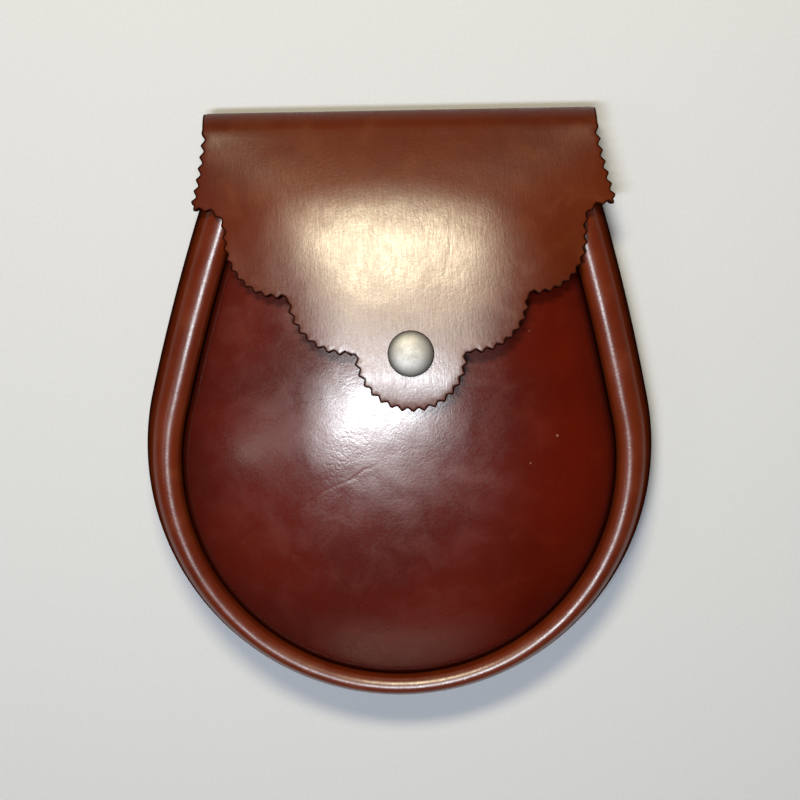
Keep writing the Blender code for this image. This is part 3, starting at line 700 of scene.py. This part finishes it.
def sweep_tree():
    inputs = [("Section", "NodeSocketObject"), ("Material", "NodeSocketMaterial")]
    tree, given, result = new_tree("roll_along_outline", inputs)
    links = tree.links
    rail = linked(tree, "GeometryNodeMeshToCurve", Mesh=given.outputs["Geometry"])
    info = linked(tree, "GeometryNodeObjectInfo", Object=given.outputs["Section"])
    section = linked(tree, "GeometryNodeMeshToCurve", Mesh=info.outputs["Geometry"])
    swept = tree.nodes.new("GeometryNodeCurveToMesh")
    links.new(rail.outputs[0], swept.inputs["Curve"])
    links.new(section.outputs[0], swept.inputs["Profile Curve"])
    share = maths(tree, "MULTIPLY", field_of(tree, "crest_share"), field_of(tree, "crest"))
    inward = maths(tree, "ADD", field_of(tree, "fixed_inset"), share)
    back = vector_maths(tree, "SCALE", field_of(tree, "out", True), inward)
    flat = vector_maths(tree, "SUBTRACT", field_of(tree, "place", True), back)
    rise = linked(tree, "ShaderNodeCombineXYZ", Z=field_of(tree, "level")).outputs[0]
    place = vector_maths(tree, "ADD", flat, rise)
    moved = linked(tree, "GeometryNodeSetPosition", Geometry=swept.outputs[0], Position=place)
    real = linked(tree, "GeometryNodeRealizeInstances", Geometry=moved.outputs[0])
    painted = linked(tree, "GeometryNodeSetMaterial", Geometry=real.outputs[0], Material=given.outputs["Material"])
    links.new(painted.outputs[0], result.inputs[0])
    return tree


def flip_if_inside_out(piece, near, out):
    """Turns all faces round if the one nearest to a known point looks the wrong way."""
    nearest = min(piece.data.polygons, key=lambda face: (face.center - near).length)
    if nearest.normal.dot(out) < 0:
        piece.data.flip_normals()
        print(piece.name, "had its faces turned outward")


def make_rim(material):
    rows = rim_section()
    run = np.concatenate([[0], np.cumsum(np.linalg.norm(np.diff(rows[:, [0, 2]], axis=0), axis=1))])
    section = make_line(
        "rim_section",
        [(0.01 * s, 0, 0) for s in run],
        {"fixed_inset": rows[:, 0], "crest_share": rows[:, 1], "level": rows[:, 2]},
    )
    flat = np.concatenate([rim_points, np.zeros((len(rim_points), 1))], axis=1)
    out = np.concatenate([rim_out, np.zeros((len(rim_out), 1))], axis=1)
    rim = make_line("rolled_rim", flat, {"place": flat, "out": out, "crest": crest_inset(rim_out)})
    use_tree(rim, sweep_tree(), {"Section": section, "Material": material})
    made_plain(rim)
    bpy.data.objects.remove(section)
    flip_if_inside_out(rim, Vector((RIM_RADIUS, ROUND_Y, RIM_MIDDLE)), Vector((1, 0, 0)))
    return thickened(rim, LEATHER, -1)


rim = make_rim(rim_leather)

# %% [markdown]
# The flap is one flat piece cut with pinking shears, which leave a zigzag edge. Its lower edge is five
# rounds of one radius that step down to the snap. The pattern is drawn flat first, as at the bench: half of
# the edge from arcs, then its teeth, and then the other half as its mirror image.


# %% The flap's pattern
def arc(middle, radius, start, end, steps):
    turns = np.radians(np.linspace(start, end, steps + 1))
    return np.stack([middle[0] + radius * np.cos(turns), middle[1] + radius * np.sin(turns)], axis=1)


def half_edge():
    """The flap's right edge from the fold to the tip, across and down from the fold."""
    ear_y = SNAP_DROP - EAR_FLOOR
    lean = np.linspace(FRONT_START, ear_y - EAR_CORNER, 48)
    flare = np.stack([FOLD_HALF + EAR_FLARE * (lean / lean[-1]) ** 2, lean], axis=1)
    corner = arc((FOLD_HALF + EAR_FLARE - EAR_CORNER, ear_y - EAR_CORNER), EAR_CORNER, 0, 90, 12)
    edge = 2 * SCALLOP_STEP[0] + SCALLOP_RADIUS
    fillet = arc((edge + EAR_FILLET, ear_y + EAR_FILLET), EAR_FILLET, 270, 180, 16)
    pieces = [flare, corner, fillet]
    apart = math.hypot(*SCALLOP_STEP)
    cut = math.degrees(math.acos(apart / 2 / SCALLOP_RADIUS))
    toward_next = math.degrees(math.atan2(SCALLOP_STEP[1], -SCALLOP_STEP[0]))
    for tier, start, end in (
        (2, 0.0, toward_next - cut),
        (1, toward_next - 180 + cut, toward_next - cut),
        (0, toward_next - 180 + cut, 90.0),
    ):
        middle = (tier * SCALLOP_STEP[0], SNAP_DROP - tier * SCALLOP_STEP[1])
        pieces.append(arc(middle, SCALLOP_RADIUS, start, end, 60))
    return np.concatenate(pieces)


def pinked(curve, points_per_tooth=8):
    """The curve cut with pinking shears: a zigzag whose points are a little worn."""
    step = np.linalg.norm(np.diff(curve, axis=0), axis=1)
    length = np.concatenate([[0], np.cumsum(step)])
    teeth = round(length[-1] / TOOTH_PITCH)
    stops = np.linspace(0, length[-1], points_per_tooth * teeth + 1)
    even = np.stack([np.interp(stops, length, curve[:, k]) for k in (0, 1)], axis=1)
    along = np.gradient(even, axis=0)
    along /= np.linalg.norm(along, axis=1)[:, None]
    inward = np.stack([-along[:, 1], along[:, 0]], axis=1)
    phase = stops / length[-1] * teeth % 1
    zigzag = 1 - np.abs(2 * phase - 1)
    wave = 0.5 - 0.5 * np.cos(2 * math.pi * phase)
    even += (TOOTH_DEPTH * (0.45 * zigzag + 0.55 * wave))[:, None] * inward
    print("half of the flap's edge has", teeth, "teeth")
    return even


def flap_border():
    """The whole border of the flap laid out flat, and the rows behind the front."""
    front = pinked(half_edge()) - np.array([0.0, FRONT_START])
    behind = -FOLD_RADIUS * FOLD_TURN
    fold_rows = np.linspace(0, behind, 25)[1:]
    tail_rows = np.linspace(behind, behind - FLAP_TAIL, 7)[1:]
    edge = [(FOLD_HALF, along) for along in (*fold_rows, *tail_rows)]
    right = np.concatenate([np.array(edge)[::-1], front])
    return np.concatenate([right, right[-2::-1] * np.array([-1.0, 1.0])]), (*fold_rows, *tail_rows)


flap_pattern = flap_border()
print("the flap laid out flat is", *(round(1000 * side) for side in np.ptp(flap_pattern[0], axis=0)), "mm")

# %% [markdown]
# The pattern is filled with a fine net of triangles between its edge and the hole for the snap. Then every
# point is carried over the fold and down on the body. Bending flat leather is what the maker does, and it
# keeps the leather's length. A cloth simulation would let it sag, but leather this thick holds its arch.

# %% The flap draped
FLAP_CELL, EDGE_CLEAR, HOLE_CLEAR, BEVEL_CLEAR = 0.0018, 0.0017, 0.0009, 0.00036  # the net's spacings
BEVEL_ROWS, BEVEL, BEVEL_SHARE = (0.0005, 0.0011), 0.0008, 0.12
FLAP_LIFT = 0.00012


def inside(points, border):
    """Which points have the border crossing a straight line to their right an odd number of times."""
    starts, ends = border, np.roll(border, -1, axis=0)
    run = ends - starts
    answer = np.zeros(len(points), bool)
    for start, way in zip(starts, run):
        if way[1]:
            share = (points[:, 1] - start[1]) / way[1]
            answer ^= (share >= 0) & (share < 1) & (start[0] + share * way[0] > points[:, 0])
    return answer


def edge_distance(points, border):
    """How far each point lies from the border."""
    run = np.roll(border, -1, axis=0) - border
    nearest = np.full(len(points), 1.0)
    for start, way in zip(border, run):
        share = np.clip((points - start) @ way / (way @ way), 0, 1)
        nearest = np.minimum(nearest, np.linalg.norm(points - start - share[:, None] * way, axis=1))
    return nearest


def flap_point(across, along):
    """A place on the flat flap, carried to the front, round the fold or flat behind."""
    if along >= 0:
        down = FRONT_START + along
        x, y = flap_place(across, down)
        return (x, y, float(flap_height(across, down)))
    turned = -along / FOLD_RADIUS
    if turned <= FOLD_TURN:
        angle = math.pi / 2 - FLAP_RISE - turned
        x, y = flap_place(across, FOLD_MIDDLE - FOLD_RADIUS * math.cos(angle))
        return (x, y, TAIL_Z + FOLD_RADIUS * (1 + math.sin(angle)))
    x, y = flap_place(across, FOLD_MIDDLE - along - FOLD_RADIUS * FOLD_TURN)
    return (x, y, TAIL_Z)


def edge_inward(border):
    """Every other border point's index with the direction into the flap, evened out over a tooth."""
    along = np.roll(border, -3, axis=0) - np.roll(border, 3, axis=0)
    along /= np.linalg.norm(along, axis=1)[:, None]
    inward = np.stack([-along[:, 1], along[:, 0]], axis=1)
    return list(enumerate(inward))[::2]


def make_flap(border, back_rows):
    lowest = border[:, 1].max()
    hole_y = SNAP_DROP - FRONT_START
    turns = np.linspace(0, 2 * math.pi, 41)[:-1]
    hole = np.stack([HOLE_RADIUS * np.cos(turns), hole_y + HOLE_RADIUS * np.sin(turns)], axis=1)
    columns = np.arange(-38, 39) * (FOLD_HALF / 36)
    front_rows = np.linspace(0, lowest, 1 + round(lowest / FLAP_CELL))
    grid = np.array([(x, y) for y in (*back_rows[:-1], *front_rows) for x in columns])
    near = edge_distance(grid, border)
    grid = grid[inside(grid, border) & (near > EDGE_CLEAR)]
    grid = grid[np.linalg.norm(grid - (0, hole_y), axis=1) > HOLE_RADIUS + HOLE_CLEAR]
    bevel = [border[k] + depth * inward for depth in BEVEL_ROWS for k, inward in edge_inward(border)]
    bevel = np.array([p for p in bevel if p[1] > BEVEL_ROWS[0]])
    bevel = bevel[inside(bevel, border) & (edge_distance(bevel, border) > BEVEL_CLEAR)]
    flat = np.concatenate([border, hole, grid, bevel])
    rim, around = list(range(len(border))), [len(border) + k for k in range(len(hole))]
    edges = [(a, b) for chain in (rim, around) for a, b in zip(chain, chain[1:] + chain[:1])]
    found = delaunay_2d_cdt([Vector(p) for p in flat], edges, [], 0, 1e-8, False)
    points = np.array([tuple(p) for p in found[0]])
    middles = np.array([np.mean(points[list(face)], axis=0) for face in found[2]])
    kept = inside(middles, border) & ~inside(middles, hole)
    faces = [tuple(reversed(face)) for face, keep in zip(found[2], kept) if keep]
    distance = edge_distance(points, border)
    shaped = np.array([flap_point(*p) for p in points])
    free = soft_step((points[:, 1] - 0.004) / 0.02)
    shaped[:, 2] += free * (FLAP_LIFT + worn(shaped, size=0.03, amount=0.0001, seed=7.0))
    flap = make_mesh("scalloped_flap", shaped, faces, {"cut_edge": distance, "laid": np.c_[points, distance * 0]})
    weights = 1 - BEVEL_SHARE * (1 - soft_step(distance / BEVEL))
    return thickened(flap, FLAP_LEATHER, 1, keep_corners=False, weights=weights)


flap = make_flap(*flap_pattern)

# %% [markdown]
# The back is a flat sheet that lies inside the rim's lap. It hangs in a little between its seams where the
# wearer's body has pressed on it. A real one is cut to the same outline as the front and sewn through the
# lap with a saddle stitch. It is made of rings like the front, with one face to close the middle.


# %% The back
BACK_HOLLOW = 0.0003


def make_back_panel():
    loop = closed_loop(FOLD_Y - FOLD_MIDDLE, LAP_INSET + BACK_LAP / 3)
    middle = np.array([0.0, ROUND_Y + 0.012])
    rings, free = [], []
    for share in (*np.linspace(0, 0.94, 30), 1.0):
        ring = loop + min(share, 0.995) * (middle - loop)
        rings.append(np.c_[ring, np.full(len(ring), BACK_Z)])
        free.append(np.full(len(ring), soft_step((share - 0.12) / 0.5)))
    points, free = np.concatenate(rings), np.concatenate(free)
    points[:, 2] += free * (BACK_HOLLOW + worn(points, size=0.03, amount=0.00025, seed=11.0))
    count = len(loop)
    faces = [tuple(reversed(face)) for face in ring_faces(len(rings), count)]
    faces.append(tuple(range((len(rings) - 1) * count, len(rings) * count)))
    return thickened(make_mesh("back_leather_panel", points, faces), LEATHER, -1)


back_panel = make_back_panel()

# %% [markdown]
# Two short straps are sewn to the back. They stand off it between their ends, so that a waist strap or a
# chain strap passes through. Their corners are cut a little round. A strip bends only along its length, so
# rows of points across it are enough.


# %% The strap loops
LOOP_CORNER, LOOP_CROWN = 0.0022, 0.00012


def lap_edge(y):
    """How far out from the middle the rim's lap ends, at this height."""
    points, out = half_outline(FOLD_Y - MOUTH_DROP)
    edge = points - (crest_inset(out) + LAP_INSET + BACK_LAP)[:, None] * out
    return float(np.interp(y, edge[::-1, 1], edge[::-1, 0]))


def make_strap_loop(name, side):
    half_length = LOOP_INSIDE / 2 + LOOP_BEND + LOOP_TAB
    middle_y = HALF_LENGTH - LOOP_DROP
    outer = lap_edge(middle_y + half_length) - LOOP_CLEAR
    points, columns = [], 11
    rows = np.linspace(-half_length, half_length, 73)
    for y in rows:
        rise = soft_step((abs(y) - LOOP_INSIDE / 2) / LOOP_BEND)
        to_end = half_length - abs(y)
        narrow = LOOP_CORNER * (1 - math.sqrt(max(0.0, 1 - (1 - min(to_end / LOOP_CORNER, 1)) ** 2)))
        for across in np.linspace(-1, 1, columns):
            x = side * (outer - LOOP_WIDTH / 2) + across * (LOOP_WIDTH / 2 - narrow)
            crown = LOOP_CROWN * (1 - across**2) * (1 - rise)
            points.append((x, middle_y + y, GAP + (LAP_Z - GAP) * rise + crown))
    faces = [
        (r * columns + c, r * columns + c + 1, (r + 1) * columns + c + 1, (r + 1) * columns + c)
        for r in range(len(rows) - 1)
        for c in range(columns - 1)
    ]
    points = np.array(points)
    points[:, 2] += np.abs(worn(points, size=0.012, amount=0.0001, seed=5.0 + side)) * (points[:, 2] < 0.001)
    loop = thickened(make_mesh(name, points, faces), LEATHER, 1)
    ends = [middle_y + s * (half_length - LOOP_TAB / 2) for s in (-1, 1)]
    return loop, [(side * (outer - LOOP_WIDTH / 2), y) for y in ends]


strap_left, tabs_left = make_strap_loop("left_strap_loop", -1)
strap_right, tabs_right = make_strap_loop("right_strap_loop", 1)

# %% [markdown]
# The snap's cap is pressed and turned: a low dome with a thin rolled edge. Below it are the neck that goes
# through the flap and the socket that grips the stud. It is spun from one profile, as on a lathe, so that
# the shape and its painted edge shade stand in one list. The stud on the front panel is hidden when the flap
# is closed, so the imported model's own stud stays.


# %% The snap
DOME_RADIUS, DOME_FOOT, DOME_ROUND = 0.0071, 0.0009, 1.1
EDGE_ROLL, EDGE_MIDDLE, EDGE_HALF, EDGE_DIP, EDGE_UNDER = 0.00028, 0.0005, 0.0003, 0.00008, 0.0004


def make_snap_cap():
    """A turned piece from rows of radius, height and share of painted shade."""
    seat = FLAP_LEATHER + GAP
    arcs = np.linspace(0, math.pi / 2, 25)
    foot, rise = seat + DOME_FOOT, CAP_HEIGHT - DOME_FOOT
    # The third number of each row is its share of painted shade: none on the dome, most round and under the rolled
    # edge.
    dome = [(DOME_RADIUS * math.sin(a), foot + rise * math.cos(a) ** DOME_ROUND, 0.0) for a in arcs[:-1]]
    dome += [(DOME_RADIUS, foot - EDGE_DIP, 0.6)]
    rolled = [
        (CAP_RADIUS - EDGE_ROLL * (1 - math.cos(a)), seat + EDGE_MIDDLE + EDGE_HALF * math.sin(a), 1.0)
        for a in np.linspace(math.radians(80), -math.pi / 2, 12)
    ]
    below = [
        (CAP_RADIUS - EDGE_UNDER, seat, 1.0), (NECK_RADIUS, seat, 0.4), (NECK_RADIUS, -SOCKET_SEAT, 0.0),
        (SOCKET_RADIUS, -SOCKET_SEAT, 0.0), (SOCKET_RADIUS, -SOCKET_SEAT - SOCKET_HEIGHT, 0.0),
        (KNOB_RADIUS + GAP, -SOCKET_SEAT - SOCKET_HEIGHT, 0.0), (KNOB_RADIUS + GAP, -SOCKET_SEAT - GAP, 0.0),
        (0.0, -SOCKET_SEAT - GAP, 0.0),
    ]
    profile, steps = dome + rolled + below, 96
    turn = Vector((0, 0, 1)).rotation_difference(SNAP_OUT).to_matrix().to_4x4()
    place = Matrix.Translation(FLAP_FOOT) @ turn
    points, dark = [place @ Vector((0, 0, profile[0][1]))], [profile[0][2]]
    for radius, height, shade in profile[1:-1]:
        for k in range(steps):
            angle = 2 * math.pi * k / steps
            points.append(place @ Vector((radius * math.cos(angle), radius * math.sin(angle), height)))
            dark.append(shade)
    points.append(place @ Vector((0, 0, profile[-1][1])))
    dark.append(0.0)
    last, rings, faces = len(points) - 1, len(profile) - 2, []
    for k in range(steps):
        after = (k + 1) % steps
        faces.append((0, 1 + k, 1 + after))
        faces.append((last, last - steps + after, last - steps + k))
        for r in range(rings - 1):
            here, below_it = 1 + r * steps, 1 + (r + 1) * steps
            faces.append((here + k, below_it + k, below_it + after, here + after))
    cap = make_mesh("snap_cap_dome", points, faces, {"cap_edge_shade": np.array(dark)})
    return made_plain(cap, math.radians(60))


snap_cap = make_snap_cap()
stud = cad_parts["snap_stud"]

# %% [markdown]
# All seams are hand sewn. Geometry Nodes lay the stitches: a line is divided at an even spacing, and a
# short, slightly flattened and slanted piece of thread is put at each mark, half sunk in the leather. The
# seam of the front lies inside the rim's groove, where none of it shows.


# %% Stitches
SLANT_LEAST, SLANT_MOST, SUNK = 0.06, 0.2, 0.0001


def stitch_tree():
    inputs = [("Spacing", "NodeSocketFloat"), ("Length", "NodeSocketFloat"), ("Width", "NodeSocketFloat"),
              ("Seed", "NodeSocketInt"), ("Material", "NodeSocketMaterial")]
    tree, given, result = new_tree("stitches_on_line", inputs)
    links = tree.links
    line = linked(tree, "GeometryNodeMeshToCurve", Mesh=given.outputs["Geometry"])
    marks = linked(tree, "GeometryNodeCurveToPoints", Curve=line.outputs[0])
    marks.mode = "LENGTH"
    links.new(given.outputs["Spacing"], marks.inputs["Length"])
    turned = linked(tree, "FunctionNodeAlignRotationToVector", Vector=marks.outputs["Tangent"])
    turned.axis = "X"
    slant = linked(tree, "FunctionNodeRandomValue", Seed=given.outputs["Seed"])
    slant.data_type = "FLOAT"
    slant.inputs[2].default_value, slant.inputs[3].default_value = SLANT_LEAST, SLANT_MOST
    tilt = linked(tree, "ShaderNodeCombineXYZ", Z=slant.outputs[1])
    as_turn = linked(tree, "FunctionNodeEulerToRotation", Euler=tilt.outputs[0])
    both = linked(tree, "FunctionNodeRotateRotation", Rotation=turned.outputs[0], Rotate_By=as_turn.outputs[0])
    both.rotation_space = "LOCAL"
    size = linked(tree, "ShaderNodeCombineXYZ", X=given.outputs["Length"], Y=given.outputs["Width"],
                  Z=given.outputs["Width"])
    bead = linked(tree, "GeometryNodeMeshUVSphere", Segments=10, Rings=7, Radius=0.5)
    put = linked(tree, "GeometryNodeInstanceOnPoints", Points=marks.outputs["Points"], Instance=bead.outputs[0],
                 Rotation=both.outputs[0], Scale=size.outputs[0])
    real = linked(tree, "GeometryNodeRealizeInstances", Geometry=put.outputs[0])
    smooth = linked(tree, "GeometryNodeSetShadeSmooth", Geometry=real.outputs[0])
    painted = linked(tree, "GeometryNodeSetMaterial", Geometry=smooth.outputs[0], Material=given.outputs["Material"])
    links.new(painted.outputs[0], result.inputs[0])
    return tree


STITCHES = stitch_tree()


def sew(name, points, spacing=0.0042, length=0.0031, width=0.0008, seed=1, closed=False):
    line = make_line(name, points, {}, closed)
    use_tree(line, STITCHES, {"Spacing": spacing, "Length": length, "Width": width, "Seed": seed, "Material": thread})
    return made_plain(line)


lap_line = rim_points - (crest_inset(rim_out) + LAP_INSET + BACK_LAP / 2)[:, None] * rim_out
seams = [sew("back_seam", np.c_[lap_line, np.full(len(lap_line), LAP_Z + SUNK)], seed=3)]
tail_z = TAIL_Z - FLAP_LEATHER + SUNK
for row, back in enumerate((0.0026, 0.0066)):
    across = np.linspace(-FOLD_HALF + 0.004, FOLD_HALF - 0.004, 60)
    line = [(*flap_place(a, FOLD_MIDDLE + back), tail_z) for a in across]
    seams.append(sew(f"flap_seam_{row + 1}", line, seed=11 + row))
for number, (x, y) in enumerate(tabs_left + tabs_right):
    w, h = LOOP_WIDTH / 2 - 0.0022, LOOP_TAB / 2 - 0.0016
    corners = [(-w, -h), (w, -h), (w, h), (-w, h)]
    box = []
    for (ax, ay), (bx, by) in zip(corners, corners[1:] + corners[:1]):
        box += [(x + ax + s * (bx - ax), y + ay + s * (by - ay), LAP_Z + SUNK) for s in np.linspace(0, 1, 9)[:-1]]
    seams.append(sew(f"loop_seam_{number + 1}", box, 0.0028, 0.0021, 0.0007, 20 + number, closed=True))

# %% [markdown]
# Each piece now gets its leather or metal, rides on the one body, and stands for its node of the packed
# model.

# %% Give each piece its place
finished = [
    (front_panel, front_leather, "front_panel", "front_leather"),
    (rim, rim_leather, "gusset", "rim_leather"),
    (back_panel, back_leather, "back_panel", "back_leather"),
    (flap, flap_leather, "flap", "flap_leather"),
    (snap_cap, cap_nickel, "snap_cap", "cap_nickel"),
    (strap_left, strap_leather, "strap_loop_left", "strap_leather"),
    (strap_right, strap_leather, "strap_loop_right", "strap_leather"),
]
for piece, material, node, slot in finished:
    piece.data.materials.clear()
    piece.data.materials.append(material)
    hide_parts(node)
    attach(piece, "root")
for seam in seams:
    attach(seam, "root")
for place in stud.material_slots:
    place.material = stud_nickel
print("pieces:", [piece.name for piece, *_ in finished], "and", len(seams), "seams")

# %% [markdown]
# The pouch is photographed from above, a little from the flap's side. Two soft lights make the two
# highlights that show how the leather curves: a warm one beyond the fold, and a cool one close to the lens.
# Two weak ones below and at the left lift the rim off the floor, which is a plain pale card.


# %% Floor and light
def new_light(name, place, aim, size, energy, colour):
    light = bpy.data.lights.new(name, "AREA")
    light.shape, light.energy, light.color = "ELLIPSE", energy, colour
    light.size, light.size_y = size
    made = bpy.data.objects.new(name, light)
    bpy.context.scene.collection.objects.link(made)
    made.location = place
    made.rotation_euler = (Vector(aim) - Vector(place)).to_track_quat("-Z", "Y").to_euler()
    return made


def make_floor():
    corners = [(-6, -6, 0), (6, -6, 0), (6, 6, 0), (-6, 6, 0)]
    floor = make_mesh("floor", corners, [(0, 1, 2, 3)])
    made, tree, shader = new_material("pale_card")
    where = tree.nodes.new("ShaderNodeTexCoord").outputs["Object"]
    tooth = clouds(tree, where, 900.0, 2.0)
    tree.links.new(
        blend_colour(tree, map_range(tree, tooth, 0.3, 0.7), (0.48, 0.49, 0.52), (0.465, 0.475, 0.505)),
        shader.inputs["Base Color"],
    )
    shader.inputs["Roughness"].default_value = 0.9
    shader.inputs["Specular IOR Level"].default_value = 0.1
    floor.data.materials.append(made)
    floor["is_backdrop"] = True
    return floor


make_floor()
scene = bpy.context.scene
scene.view_settings.view_transform = "Standard"
world = bpy.data.worlds.new("soft_room")
world.use_nodes = True
room = world.node_tree.nodes["Background"]
room.inputs["Color"].default_value = (0.95, 0.97, 1.0, 1.0)
room.inputs["Strength"].default_value = 0.03
scene.world = world


def lit_from(along, aside, distance, aim=(0.0, 0.0, 0.03)):
    """A place above the pouch, by degrees from straight up towards the fold and towards the right."""
    a, b = math.radians(along), math.radians(aside)
    way = Vector((math.sin(b), math.sin(a) * math.cos(b), math.cos(a) * math.cos(b)))
    return Vector(aim) + distance * way


on_flap, on_front, on_pouch = (0, 0.06, 0.035), (0, 0.0, 0.04), (0, 0, 0.02)
lamps = (
    new_light("warm_lamp", lit_from(29, -5, 0.9, on_flap), on_flap, (0.32, 0.15), 8.2, (1.0, 0.88, 0.62)),
    new_light("cool_lamp", lit_from(-1, -6.5, 0.9, on_front), on_front, (0.08, 0.34), 7.4, (0.87, 0.93, 1.0)),
    new_light("low_window", lit_from(-66, 4, 1.3), on_pouch, (0.9, 0.3), 0.55, (1.0, 0.90, 0.76)),
    new_light("left_window", lit_from(-7, -40, 1.2), on_pouch, (0.09, 0.3), 0.42, (1.0, 0.97, 0.95)),
)
print("lamps in watts:", {lamp.name: round(lamp.data.energy, 2) for lamp in lamps})

# %% [markdown]
# The lens stands 65 cm away, tipped 8 degrees from straight above and turned a little, as the fold's slant
# in the picture shows. The focal length is the one that makes the pouch fill its share of the picture.

# %% Camera
CAMERA_AWAY, FOCAL_PIXELS, PICTURE_PIXELS, SENSOR_MM = 0.65, 1927, 800, 36.0
tilt, roll = math.radians(8.0), math.radians(0.7)
back_way = Vector((0, math.sin(tilt), math.cos(tilt)))
up_way, right_way = Vector((0, math.cos(tilt), -math.sin(tilt))), Vector((1, 0, 0))
aim = Vector((0, 0, 0.012)) + 0.001 * up_way
camera = bpy.data.objects.new("camera", bpy.data.cameras.new("camera"))
scene.collection.objects.link(camera)
camera.data.sensor_width, camera.data.lens = SENSOR_MM, FOCAL_PIXELS / PICTURE_PIXELS * SENSOR_MM
right = math.cos(roll) * right_way + math.sin(roll) * up_way
up = math.cos(roll) * up_way - math.sin(roll) * right_way
axes = Matrix((right, up, back_way)).transposed().to_4x4()
camera.matrix_world = Matrix.Translation(aim + CAMERA_AWAY * back_way) @ axes
scene.camera = camera
print("camera at", [round(v, 3) for v in camera.matrix_world.translation])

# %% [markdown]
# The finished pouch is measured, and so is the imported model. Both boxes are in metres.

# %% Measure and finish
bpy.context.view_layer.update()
for label, box in (("packed model", model_box), ("finished pouch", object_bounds())):
    print(label, "in mm:", [round(1000 * (b - a), 1) for a, b in zip(*box)])
